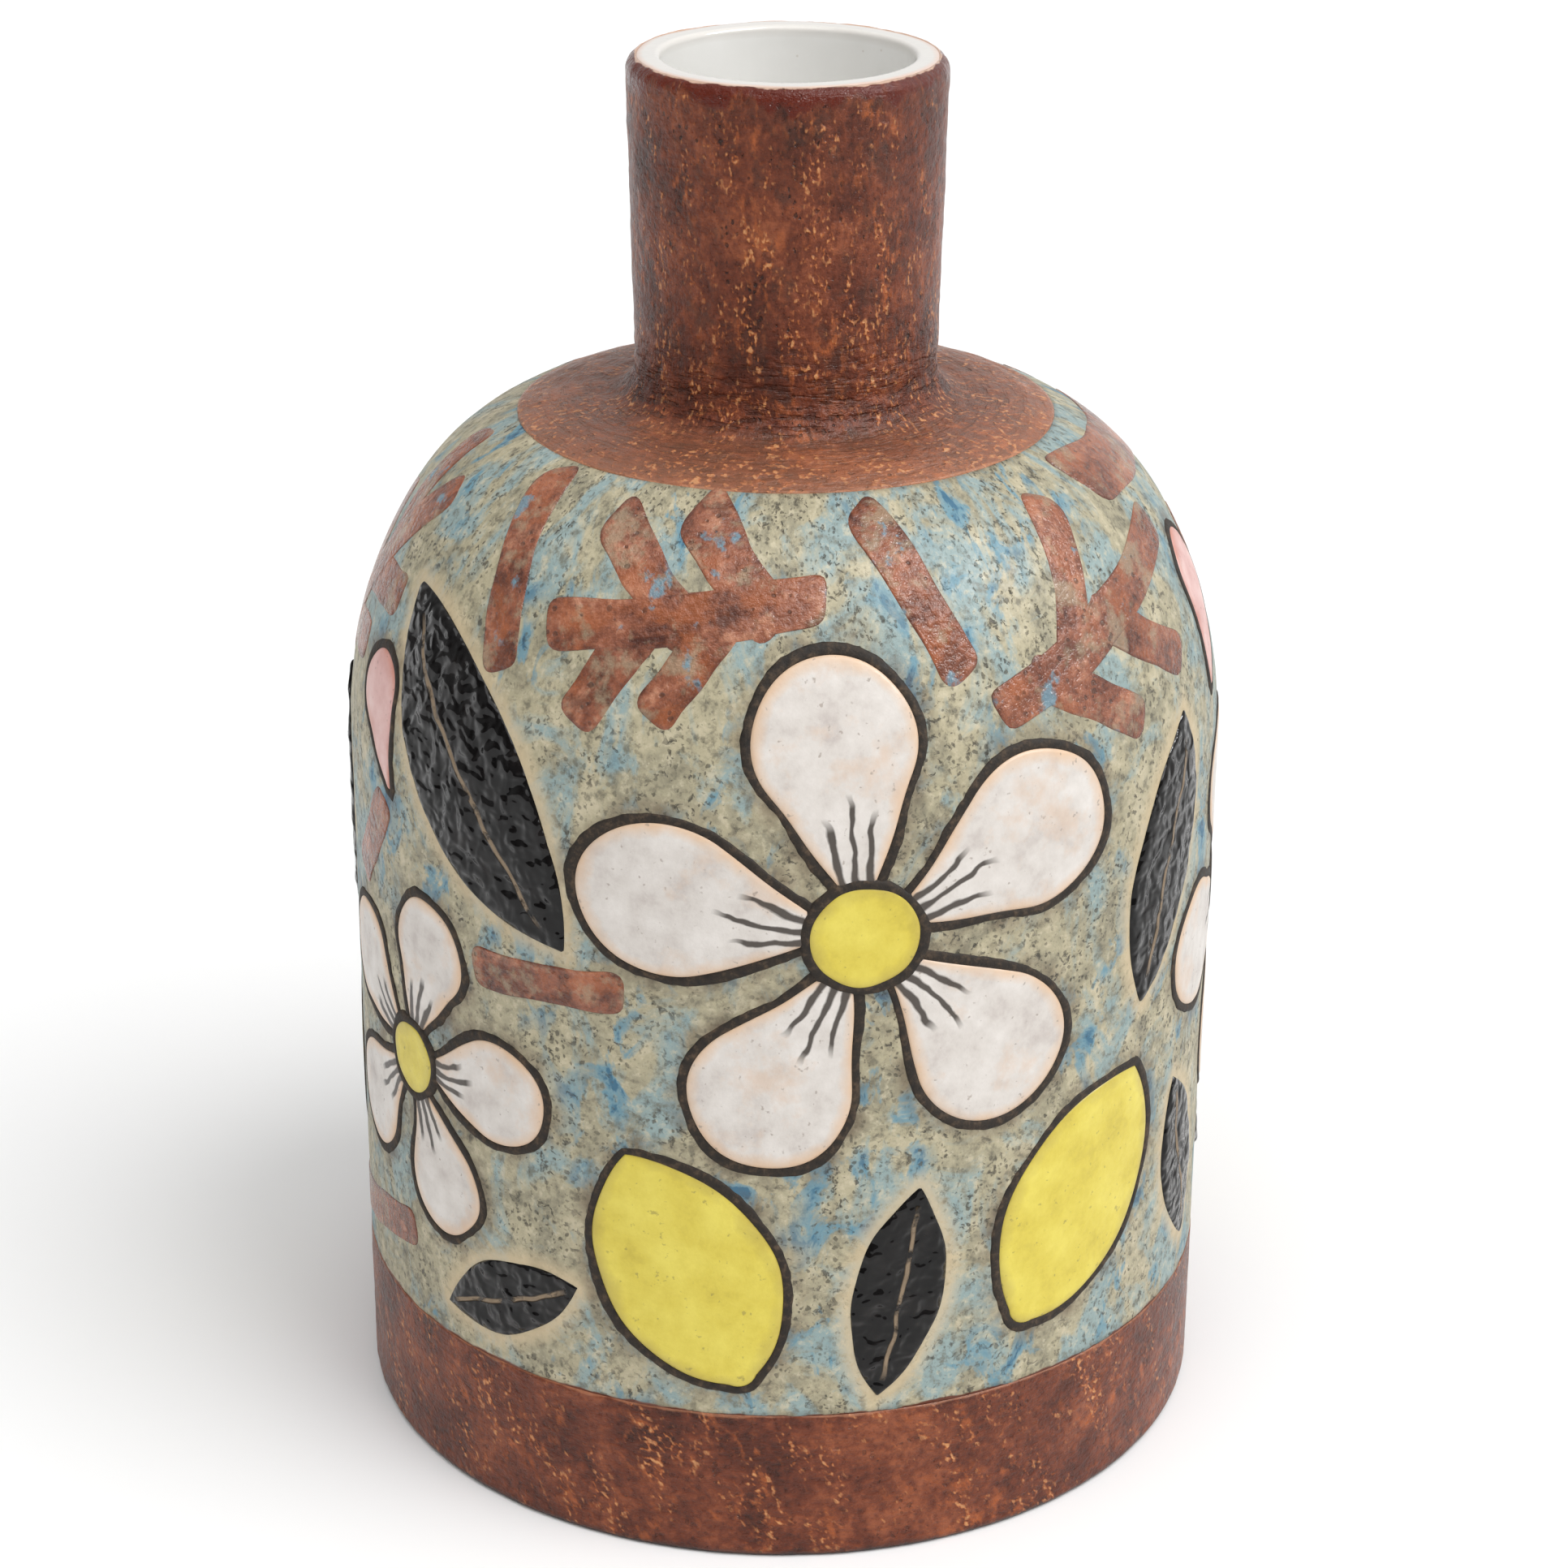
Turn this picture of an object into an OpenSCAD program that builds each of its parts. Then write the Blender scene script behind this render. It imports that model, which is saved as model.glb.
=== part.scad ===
// Ceramic vase: a straight-walled body, a domed shoulder and a tall neck, thrown in
// three sections, luted together on a slab base, then lined, glazed and painted.
// Millimetres. Z is the axis, Z = 0 the standing face, and the front looks along -Y.

/* [Body] */
// Diameter of the straight wall, over its slip
body_d = 188; // [172:1:206]
// Height of the straight wall
wall_h = 156; // [136:1:180]
// Thickness of the clay wall
clay_wall = 5.5; // [4:0.1:7]
// Thickness of the clay floor
floor_t = 8; // [6:0.5:12]

/* [Shoulder] */
// Rise of the shoulder from the wall to its crown
shoulder_rise = 72; // [66:1:84]
// How far the crown's radius falls short of the shoulder's reach
crown_shortfall = 6.7; // [5:0.1:10]

/* [Neck] */
// Height of the neck above the crown
neck_h = 72; // [50:1:100]
// Diameter of the neck at its root
neck_root_d = 63.2; // [59:0.2:68]
// Diameter of the neck under its lip
neck_top_d = 66; // [62:0.2:72]
// Radius of the sweep where the neck meets the shoulder
root_sweep_r = 7.7; // [5:0.1:11]
// Diameter of the mouth, inside the lining
mouth_d = 52; // [44:0.5:54]
// Rounding of the lip's outer edge
lip_outer_r = 3; // [2:0.1:4]
// Rounding of the lip's inner edge
lip_inner_r = 1.2; // [0.8:0.1:2]

/* [Foot] */
// Rounding of the bottom edge
foot_edge_r = 1.8; // [1.2:0.1:3]
// Width of the ring that the vase stands on
foot_ring_w = 18; // [10:1:30]
// Depth of the turned recess inside that ring
foot_recess = 1.5; // [0.5:0.25:3]

/* [Joints] */
// Length of the lap where two sections overlap
lap = 8; // [5:0.5:10]
// Thickness of the slip that lutes the sections together
slip_t = 0.6; // [0.3:0.1:1]
// Height of the step that centres the wall on the base slab
base_step = 3; // [2:0.5:4]
// Reach of the neck's flange past its root sweep
flange_w = 7; // [5:0.5:9]

/* [Coats] */
// Thickness of the outer slip and glaze
coat_t = 0.8; // [0.5:0.1:1]
// Thickness of the white lining glaze
lining_t = 0.5; // [0.3:0.1:0.8]
// Reach of the rust collar past the root of the neck
collar_w = 25; // [20:0.5:30]
// Height of the rust band round the foot
band_h = 35; // [25:1:45]
// How far in from the neck's edge the white lip starts
lip_inset = 2; // [1:0.1:2.5]

/* [Painting] */
// Relief of the coloured glazes over the slip
relief = 0.5; // [0.3:0.05:0.8]
// Relief of the dark lines and the rust brush strokes
line_relief = 0.5; // [0.45:0.05:0.8]
// Width of the dark lines
line_w = 1.8; // [1:0.1:2.4]
// Width of a rust brush stroke
brush_w = 9; // [5:0.5:12]
// Number of petals on a blossom
petal_n = 5; // [4:1:5]
// Width of a petal as a share of its length
petal_fullness = 0.65; // [0.5:0.01:0.7]
// Radius of a blossom's centre as a share of its petals' length
centre_share = 0.22; // [0.18:0.01:0.26]
// Width of a lemon as a share of its length
lemon_fullness = 0.66; // [0.5:0.01:0.7]
// Width of a leaf as a share of its length
leaf_fullness = 0.4; // [0.3:0.01:0.42]
// Width of a bud as a share of its length
bud_fullness = 0.55; // [0.45:0.01:0.6]

/* [Hidden] */
$fn = 96;

body_r = body_d / 2;
neck_root_r = neck_root_d / 2;
neck_top_r = neck_top_d / 2;
mouth_r = mouth_d / 2;

// The crown is the highest ring of the shoulder, where the neck's root sweep begins.
crown_z = wall_h + shoulder_rise;
overall_h = crown_z + neck_h;
crown_ring_r = neck_root_r + root_sweep_r;

// The shoulder is two arcs that share a tangent: a wide sweep off the wall, then the crown's own.
reach = body_r - crown_ring_r;
crown_r = reach - crown_shortfall;
sweep_r = (pow(reach, 2) + pow(shoulder_rise, 2) - 2 * shoulder_rise * crown_r) / (2 * crown_shortfall);
sweep_c = [body_r - sweep_r, wall_h];
crown_c = [crown_ring_r, crown_z - crown_r];
sweep_angle = atan2(crown_c[1] - sweep_c[1], crown_c[0] - sweep_c[0]);

// Heights where the neck turns straight and where its lip starts to round.
neck_straight_z = crown_z + root_sweep_r;
lip_z = overall_h - lip_outer_r;
lip_edge_r = neck_top_r - lip_inset;
collar_r = neck_root_r + collar_w;

// Depths below the finished surface, and the radii and heights of the joints.
wall_t = coat_t + clay_wall + lining_t;
half_depth = coat_t + clay_wall / 2;
clay_inner_r = body_r - coat_t - clay_wall;
lap_r = body_r - half_depth;
base_flange_t = floor_t - base_step;
flange_r = crown_ring_r + flange_w;

// Painted lengths are angles round the girth, so the painting grows with the body.
function on_wall(angle) = angle * PI / 180 * body_r;

// Every motif is [azimuth from the front, height over the foot band, length, turn], in degrees.
BLOSSOMS = [[10, 67, 31, 8], [-56, 38, 22, -14], [92, 50, 26, 22], [166, 62, 27, -8], [-130, 54, 26, 14]];
LEMONS = [[42, 24, 36, -34], [-12, 20, 35, 26], [127, 18, 35, 14], [-166, 20, 36, -28], [-96, 22, 33, -22]];
LEAVES = [
    [-44, 81, 50, 40], [15, 17, 30, -10], [58, 66, 38, -16], [67, 19, 28, 14],
    [128, 64, 42, 26], [96, 11, 26, 76], [151, 20, 32, -18], [-161, 90, 38, 66],
    [-90, 62, 40, -8], [-128, 12, 28, 72], [-38, 10, 25, -66]
];
BUDS = [[80, 92, 20, -20], [-64, 82, 18, 26], [124, 98, 18, 10], [-106, 92, 18, -24]];
// A twig's fifth number is how many side shoots it has.
TWIGS = [
    [50, 99, 37, -72, 3], [-137, 102, 37, -103, 3], [143, 98, 36, 38, 3], [-83, 96, 30, -38, 4],
    [-15, 104, 29, 99, 4], [102, 89, 25, -143, 2], [90, 111, 32, -93, 0], [-73, 8, 27, 104, 0],
    [169, 22, 25, 19, 0], [173, 104, 19, 129, 0], [-31, 57, 17, 94, 0], [-44, 105, 16, 19, 0],
    [126, 45, 16, -126, 0], [20, 106, 14, 26, 0], [-67, 65, 12, 144, 0]
];
// Side shoots of a twig: [share of its length, side], their length as a share and their lean.
SHOOTS = [[0.15, 1], [0.3, -1], [0.5, 1], [0.65, -1]];
shoot_share = 0.4;
shoot_lean = 48;
// Where a petal starts, as a share of its length from the blossom's middle.
petal_start = 0.1;
// The tip of a lemon: its radius as a share of the lemon's length.
lemon_tip = 0.07;
// The sides of a drop meet its round end this share of the way out, so that they cross it.
side_tuck = 0.99;
// Angle of the stretch of wall that one motif is cut from.
sector = 140;

// Half sections, with the radius on X and the height on Y

// The body under a surface that lies the given depth below the finished one.
module body_fill(depth) {
    sweep_top = wall_h + (sweep_r - depth) * sin(sweep_angle);
    square([body_r - depth, wall_h]);
    square([crown_ring_r, crown_z - depth]);
    intersection() {
        translate(sweep_c) circle(sweep_r - depth);
        translate([0, wall_h]) square([body_r - depth, sweep_top - wall_h]);
    }
    intersection() {
        translate(crown_c) circle(crown_r - depth);
        translate([crown_ring_r, sweep_top]) square([reach, crown_z - sweep_top]);
    }
}

// The neck under the same surface: its root sweep, its slightly flared wall and its rounded lip.
module neck_fill(depth) {
    difference() {
        translate([0, crown_z - depth]) square([crown_ring_r, root_sweep_r + depth]);
        translate([crown_ring_r, neck_straight_z]) circle(root_sweep_r + depth);
    }
    polygon([
        [0, neck_straight_z], [neck_root_r - depth, neck_straight_z],
        [neck_top_r - depth, lip_z], [0, lip_z]
    ]);
    translate([0, lip_z]) square([neck_top_r - lip_outer_r, lip_outer_r - depth]);
    translate([neck_top_r - lip_outer_r, lip_z]) intersection() {
        circle(lip_outer_r - depth);
        square(lip_outer_r);
    }
}

// The whole outside, with the bottom edge rounded.
module outer_fill(depth) {
    difference() {
        union() {
            body_fill(depth);
            neck_fill(depth);
        }
        translate([body_r - foot_edge_r, 0]) difference() {
            square(foot_edge_r);
            translate([0, foot_edge_r]) circle(foot_edge_r - depth);
        }
    }
}

// The space inside, grown by the given amount from the finished lining into the clay.
module cavity(grow) {
    intersection() {
        body_fill(wall_t - grow);
        translate([0, floor_t + lining_t - grow]) square([body_r, crown_z]);
    }
    translate([0, crown_z - wall_t]) square([mouth_r + grow, neck_h + wall_t]);
    difference() {
        translate([0, overall_h - lip_inner_r]) square([mouth_r + lip_inner_r, lip_inner_r]);
        translate([mouth_r + lip_inner_r, overall_h - lip_inner_r]) circle(lip_inner_r - grow);
    }
}

module clay() {
    difference() {
        outer_fill(coat_t);
        cavity(lining_t);
        square([body_r - foot_ring_w, foot_recess]);
    }
}

module outer_coat() {
    difference() {
        outer_fill(0);
        outer_fill(coat_t);
    }
}

// What belongs to the base slab: a disc with a step that the wall fits round.
module base_zone(grow) {
    square([body_r, base_flange_t + grow]);
    square([clay_inner_r - slip_t + grow, floor_t]);
}

// What lies below the lap joint at the top of the wall: the wall's outer half stands higher.
module wall_zone(grow) {
    square([body_r, wall_h - lap + grow]);
    translate([lap_r - grow, 0]) square([body_r, wall_h + grow]);
}

// What belongs to the neck: its flange lies on a ledge of the shoulder.
module neck_zone(grow) {
    difference() {
        translate([0, wall_h]) square([flange_r + grow, overall_h - wall_h]);
        body_fill(half_depth + grow);
    }
    translate([0, wall_h]) square([flange_r - lap + grow, overall_h - wall_h]);
}

// Clay sections and the slip that joins them

module base_slab() {
    color("#c8a487") rotate_extrude() intersection() {
        clay();
        base_zone(0);
    }
}

module base_luting() {
    color("#b08a6c") rotate_extrude() intersection() {
        clay();
        difference() {
            base_zone(slip_t);
            base_zone(0);
        }
    }
}

module body_wall() {
    color("#cdaa8d") rotate_extrude() intersection() {
        clay();
        difference() {
            wall_zone(0);
            base_zone(slip_t);
        }
    }
}

module shoulder_luting() {
    color("#b08a6c") rotate_extrude() intersection() {
        clay();
        difference() {
            wall_zone(slip_t);
            wall_zone(0);
        }
    }
}

module shoulder() {
    color("#cdaa8d") rotate_extrude() difference() {
        clay();
        wall_zone(slip_t);
        neck_zone(slip_t);
    }
}

module neck_luting() {
    color("#b08a6c") rotate_extrude() intersection() {
        clay();
        difference() {
            neck_zone(slip_t);
            neck_zone(0);
        }
    }
}

module neck() {
    color("#cdaa8d") rotate_extrude() intersection() {
        clay();
        neck_zone(0);
    }
}

// Slip and glaze coats

module lining_glaze() {
    color("#deddd8") rotate_extrude() {
        difference() {
            intersection() {
                cavity(lining_t);
                square([body_r, overall_h - coat_t]);
            }
            cavity(0);
        }
        difference() {
            intersection() {
                outer_coat();
                translate([0, lip_z]) square([lip_edge_r, lip_outer_r]);
            }
            cavity(0);
        }
    }
}

module neck_glaze() {
    color("#7a4632") rotate_extrude() difference() {
        intersection() {
            outer_coat();
            translate([0, wall_h]) square([collar_r, overall_h - wall_h]);
        }
        translate([0, lip_z]) square([lip_edge_r, lip_outer_r]);
    }
}

module ground_slip() {
    color("#bdb394") rotate_extrude() intersection() {
        outer_coat();
        translate([collar_r, band_h]) square([reach + root_sweep_r, crown_z]);
    }
}

module foot_glaze() {
    color("#7a4632") rotate_extrude() intersection() {
        outer_coat();
        square([body_r, band_h]);
    }
}

// Outlines of the painted motifs, growing along Y from the motif's own point

// A pointed oval about its middle.
module pointed_oval(length, width, grow) {
    bow_r = (pow(length, 2) + pow(width, 2)) / (4 * width);
    intersection() {
        translate([bow_r - width / 2, 0]) circle(bow_r + grow);
        translate([width / 2 - bow_r, 0]) circle(bow_r + grow);
    }
}

// A drop with its point at the origin: a round end and two straight sides that touch it.
module drop(length, width, grow) {
    end_r = width / 2;
    end_y = length - end_r;
    side_lean = asin(end_r / end_y);
    touch = (end_r * side_tuck + grow) * [cos(side_lean), -sin(side_lean)];
    translate([0, end_y]) circle(end_r + grow);
    polygon([[0, -grow / sin(side_lean)], [touch[0], end_y + touch[1]], [-touch[0], end_y + touch[1]]]);
}

module petal(length, grow) {
    translate([0, petal_start * length]) drop(length, petal_fullness * length, grow);
}

module petals(length, grow) {
    for (i = [0 : petal_n - 1])
        rotate(i * 360 / petal_n) petal(length, grow);
}

module lemon_outline(length, grow) {
    tip_r = lemon_tip * length;
    pointed_oval(length, lemon_fullness * length, grow);
    translate([0, tip_r - length / 2]) circle(tip_r + grow);
}

module leaf_outline(length, grow) {
    pointed_oval(length, leaf_fullness * length, grow);
}

module bud_outline(length, grow) {
    translate([0, -length / 2]) drop(length, bud_fullness * length, grow);
}

module brush_stroke(length, width) {
    translate([-width / 2, 0]) square([width, length]);
    circle(width / 2);
    translate([0, length]) circle(width / 2);
}

module twig_outline(length, shoots) {
    translate([0, -length / 2]) {
        brush_stroke(length, brush_w);
        for (i = [0 : 1 : shoots - 1])
            translate([0, SHOOTS[i][0] * length])
                rotate(-SHOOTS[i][1] * shoot_lean)
                    brush_stroke(shoot_share * length, brush_w);
    }
}

// Painted glazes, each a thin layer on the slip

// Sends an outline out through the wall at a motif's azimuth and height.
module through_wall(motif) {
    rotate([0, 0, motif[0]])
        translate([0, 0, band_h + on_wall(motif[1])])
            rotate([90, 0, 0])
                rotate(motif[3])
                    linear_extrude(body_d)
                        children();
}

// Keeps what an outline cuts from a thin layer on the slip, in the stretch of wall round its azimuth.
module painted(motif, thickness) {
    intersection() {
        rotate([0, 0, motif[0] - 90 - sector / 2]) rotate_extrude(angle = sector) intersection() {
            difference() {
                body_fill(-thickness);
                body_fill(0);
            }
            translate([collar_r, band_h]) square([body_d, crown_z]);
        }
        through_wall(motif) children();
    }
}

module white_petals() {
    color("#e4dfd8")
        for (motif = BLOSSOMS)
            let (length = on_wall(motif[2]))
                for (i = [0 : petal_n - 1])
                    painted(motif, relief) difference() {
                        rotate(i * 360 / petal_n) petal(length, 0);
                        circle(centre_share * length + line_w);
                    }
}

module petal_lines() {
    color("#37302b")
        for (motif = BLOSSOMS)
            let (length = on_wall(motif[2]), centre_r = centre_share * length)
                painted(motif, line_relief) difference() {
                    union() {
                        petals(length, line_w);
                        circle(centre_r + line_w);
                    }
                    difference() {
                        petals(length, 0);
                        circle(centre_r + line_w);
                    }
                    circle(centre_r);
                }
}

module blossom_centres() {
    color("#e6d264")
        for (motif = BLOSSOMS)
            painted(motif, relief) circle(centre_share * on_wall(motif[2]));
}

module lemon_glaze() {
    color("#e6d264")
        for (motif = LEMONS)
            painted(motif, relief) lemon_outline(on_wall(motif[2]), 0);
}

module lemon_lines() {
    color("#37302b")
        for (motif = LEMONS)
            painted(motif, line_relief) difference() {
                lemon_outline(on_wall(motif[2]), line_w);
                lemon_outline(on_wall(motif[2]), 0);
            }
}

module leaf_glaze() {
    color("#232122")
        for (motif = LEAVES)
            painted(motif, relief) leaf_outline(on_wall(motif[2]), 0);
}

module pink_buds() {
    color("#e3b9b4")
        for (motif = BUDS)
            painted(motif, relief) bud_outline(on_wall(motif[2]), 0);
}

module bud_lines() {
    color("#37302b")
        for (motif = BUDS)
            painted(motif, line_relief) difference() {
                bud_outline(on_wall(motif[2]), line_w);
                bud_outline(on_wall(motif[2]), 0);
            }
}

// The strokes lie in the free ground between the other motifs, and stop at the line round a bud.
module rust_twigs() {
    color("#8a4c33") difference() {
        for (motif = TWIGS)
            painted(motif, line_relief) twig_outline(on_wall(motif[2]), motif[4]);
        for (motif = BUDS)
            through_wall(motif) bud_outline(on_wall(motif[2]), line_w);
    }
}

base_slab();
body_wall();
shoulder();
neck();
base_luting();
shoulder_luting();
neck_luting();
lining_glaze();
neck_glaze();
ground_slip();
foot_glaze();
white_petals();
petal_lines();
blossom_centres();
lemon_glaze();
lemon_lines();
leaf_glaze();
pink_buds();
bud_lines();
rust_twigs();
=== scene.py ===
# %% [markdown]
# # A painted ceramic vase
# The clay of this vase was drawn in OpenSCAD and comes in as a packed frame: four clay sections, the
# slip that joins them, and thin coats of slip and glaze. The clay stays as it is. Each coat and each
# painted motif is made again here, with the unevenness of a brush and a finish of its own.

# %% Load the packed model
import math

import bmesh
import bpy
import numpy as np
from mathutils import Matrix, Vector, noise
from mathutils.kdtree import KDTree


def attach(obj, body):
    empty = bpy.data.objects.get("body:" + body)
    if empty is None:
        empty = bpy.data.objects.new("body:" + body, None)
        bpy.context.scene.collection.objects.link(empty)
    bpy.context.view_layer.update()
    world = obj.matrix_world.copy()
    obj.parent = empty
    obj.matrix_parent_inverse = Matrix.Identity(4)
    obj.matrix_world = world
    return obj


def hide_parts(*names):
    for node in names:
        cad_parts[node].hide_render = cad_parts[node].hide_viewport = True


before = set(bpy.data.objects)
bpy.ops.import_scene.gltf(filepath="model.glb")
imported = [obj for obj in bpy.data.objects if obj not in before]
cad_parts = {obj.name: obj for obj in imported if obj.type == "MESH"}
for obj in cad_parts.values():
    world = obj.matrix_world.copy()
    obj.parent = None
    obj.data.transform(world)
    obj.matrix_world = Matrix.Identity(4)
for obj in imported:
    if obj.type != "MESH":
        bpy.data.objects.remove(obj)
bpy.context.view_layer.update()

# %% [markdown]
# ## The half section
# A vase like this is a half section turned once round its axis. The arcs below are the ones the clay
# was drawn with, so every coat lies exactly on its clay. wall_at() answers the one question that all
# the painting needs: how far from the axis is the wall at this height, and which way does it face?

# %% Sizes and arcs of the half section
MM = 0.001
TOUCHING = 0.001 * MM
BODY_R = 94 * MM
BAND_Z = 35 * MM
WALL_Z = 156 * MM
CROWN_Z = 228 * MM
LIP_TOP = 300 * MM
CROWN_SHORTFALL = 6.7 * MM
NECK_ROOT_R = 31.6 * MM
NECK_TOP_R = 33 * MM
ROOT_SWEEP_R = 7.7 * MM
LIP_R = 3 * MM
LIP_EDGE_R = 31 * MM
MOUTH_R = 26 * MM
MOUTH_EDGE_R = 1.2 * MM
COLLAR_R = 56.6 * MM
FOOT_EDGE_R = 1.8 * MM
FLOOR_Z = 8.5 * MM
COAT = 0.8 * MM
LINING = 0.5 * MM
WALL = 6.8 * MM

crown_ring_r = NECK_ROOT_R + ROOT_SWEEP_R
rise = CROWN_Z - WALL_Z
reach = BODY_R - crown_ring_r
crown_arc_r = reach - CROWN_SHORTFALL
sweep_arc_r = (reach**2 + rise**2 - 2 * rise * crown_arc_r) / (2 * CROWN_SHORTFALL)
sweep_c = (BODY_R - sweep_arc_r, WALL_Z)
crown_c = (crown_ring_r, CROWN_Z - crown_arc_r)
sweep_end = math.degrees(math.atan2(crown_c[1] - sweep_c[1], crown_c[0] - sweep_c[0]))
sweep_top = WALL_Z + sweep_arc_r * math.sin(math.radians(sweep_end))
collar_angle = math.degrees(math.acos((COLLAR_R - crown_ring_r) / crown_arc_r))


def wall_at(height):
    """Radius of the finished outside at a height, and the angle that it faces upwards."""
    height = np.asarray(height, float)
    on_sweep = np.arcsin(np.clip((height - WALL_Z) / sweep_arc_r, 0, 1))
    on_crown = np.arcsin(np.clip((height - crown_c[1]) / crown_arc_r, 0, 1))
    upper = height > sweep_top
    tilt = np.where(upper, on_crown, on_sweep)
    sweep_radius = sweep_c[0] + sweep_arc_r * np.cos(tilt)
    crown_radius = crown_c[0] + crown_arc_r * np.cos(tilt)
    return np.where(upper, crown_radius, sweep_radius), tilt


def straight(start, end, step):
    """Points on a straight stretch, about a step apart."""
    count = max(2, round(math.dist(start, end) / step) + 1)
    return np.linspace(start, end, count)


def arc(centre, radius, start, end, step):
    """Points on an arc from one angle to another, in degrees."""
    turn = np.radians([start, end])
    count = max(3, round(abs(turn[1] - turn[0]) * radius / step) + 1)
    angles = np.linspace(turn[0], turn[1], count)
    return np.c_[centre[0] + radius * np.cos(angles), centre[1] + radius * np.sin(angles)]


def path_of(*stretches):
    """One path of several stretches, without the points that two of them share."""
    path = np.vstack(stretches)
    fresh = np.linalg.norm(np.diff(path, axis=0), axis=1) > TOUCHING
    return path[np.r_[True, fresh]]


print("sweep radius %.2f mm, crown radius %.2f mm" % (sweep_arc_r / MM, crown_arc_r / MM))

# %% [markdown]
# ## From a path to a coat
# A coat of glaze is thin but it is a solid, so its path is closed with a second one on the clay side
# and spun into a ring. A screw modifier could do it, but spin keeps values that are stored on the
# path's points: how far along the path a point lies, and which way it faces. roughen() uses the
# second to push the face in and out, and the finishes use the first for edges and runs of glaze.
# Spinning hundreds of steps is slow, so a sixteenth is spun, and then doubled four times.

# %% Spinning a coat
DOUBLINGS = 4
FIRST_TURN = math.tau / 2**DOUBLINGS


def coat(path, depth, steps, girth_r):
    """A closed ring of glaze, spun from its outer path. girth_r scales the pattern round the axis."""
    slope = np.gradient(path, axis=0)
    slope /= np.linalg.norm(slope, axis=1)[:, None]
    facing = np.c_[slope[:, 1], -slope[:, 0]]
    run = np.r_[0, np.cumsum(np.linalg.norm(np.diff(path, axis=0), axis=1))]
    bm = bmesh.new()
    run_layer = bm.verts.layers.float.new("run")
    flow_layer = bm.verts.layers.float_vector.new("flow")
    front = [bm.verts.new((r, 0, z)) for r, z in path]
    back = [bm.verts.new((r, 0, z)) for r, z in path - depth * facing]
    for k, (outer, inner) in enumerate(zip(front, back)):
        outer[run_layer] = inner[run_layer] = run[k]
        outer[flow_layer] = (facing[k, 0], facing[k, 1], 1)
        inner[flow_layer] = (0, 0, 0)
    loop = front + back[::-1]
    edges = []
    for a, b in zip(loop, loop[1:] + loop[:1]):
        if max(a.co.x, b.co.x) > TOUCHING:
            edges.append(bm.edges.new((a, b)))
    bmesh.ops.spin(bm, geom=loop + edges, cent=(0, 0, 0), axis=(0, 0, 1), angle=FIRST_TURN,
                   steps=steps // 2**DOUBLINGS)
    for doubling in range(DOUBLINGS):
        whole = list(bm.verts) + list(bm.edges) + list(bm.faces)
        copy = bmesh.ops.duplicate(bm, geom=whole)["geom"]
        turned_verts = [g for g in copy if isinstance(g, bmesh.types.BMVert)]
        turn = Matrix.Rotation(FIRST_TURN * 2**doubling, 3, "Z")
        bmesh.ops.rotate(bm, verts=turned_verts, cent=(0, 0, 0), matrix=turn)
    bmesh.ops.remove_doubles(bm, verts=bm.verts, dist=TOUCHING)
    bmesh.ops.recalc_face_normals(bm, faces=bm.faces)
    return bm, run[-1], girth_r


def roughen(spun, height):
    """Pushes the outer face by height(place, run), then stores the seamless flow of the coat."""
    bm, length, girth_r = spun
    run_layer = bm.verts.layers.float["run"]
    flow_layer = bm.verts.layers.float_vector["flow"]
    for v in bm.verts:
        facing_r, facing_z, outside = v[flow_layer]
        girth = Vector((v.co.x, v.co.y, 0))
        out = girth.normalized() if girth.length > TOUCHING else Vector((1, 0, 0))
        v[flow_layer] = (out.x * girth_r, out.y * girth_r, v[run_layer])
        if outside > 0.5:
            push = height(v.co, v[run_layer])
            v.co += push * (facing_r * out + Vector((0, 0, facing_z)))
    return bm


def lumps(place, *waves):
    """Lumps of several sizes. Each wave is its height, and how many there are in a metre."""
    return sum(size * noise.noise(place * scale) for size, scale in waves)


def piece(name, bm, finish, slot, *nodes):
    """Makes a bmesh a piece of the vase that stands for its CAD nodes."""
    mesh = bpy.data.meshes.new(name)
    bm.to_mesh(mesh)
    bm.free()
    mesh.materials.append(finish)
    mesh.shade_smooth()
    made = bpy.data.objects.new(name, mesh)
    bpy.context.collection.objects.link(made)
    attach(made, "root")
    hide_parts(*nodes)
    triangles = sum(len(p.vertices) - 2 for p in mesh.polygons)
    print(name, "stands for", ", ".join(nodes), "with", triangles, "triangles")
    return made


print("a coat is spun over a turn of 1 in", 2**DOUBLINGS, "and then doubled")

# %% [markdown]
# ## Writing a finish
# A fired glaze is layers: a body colour that drifts, then blotches, flecks and pits, then a bump that
# follows them. Wiring that by hand hides the recipe, so Recipe has one short method for each layer,
# and Finish ends it in a shader. Colours are written as they look on a screen, from 0 to 255, and
# changed to the linear values that nodes expect. A body colour is a list of stops on a noise.

# %% A recipe book for glazes


def linear(colour):
    """A screen colour of 0 to 255 as the linear colour of a node."""
    share = np.asarray(colour, float) / 255
    low = share / 12.92
    high = ((share + 0.055) / 1.055) ** 2.4
    return (*np.where(share <= 0.04045, low, high), 1)


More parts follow.
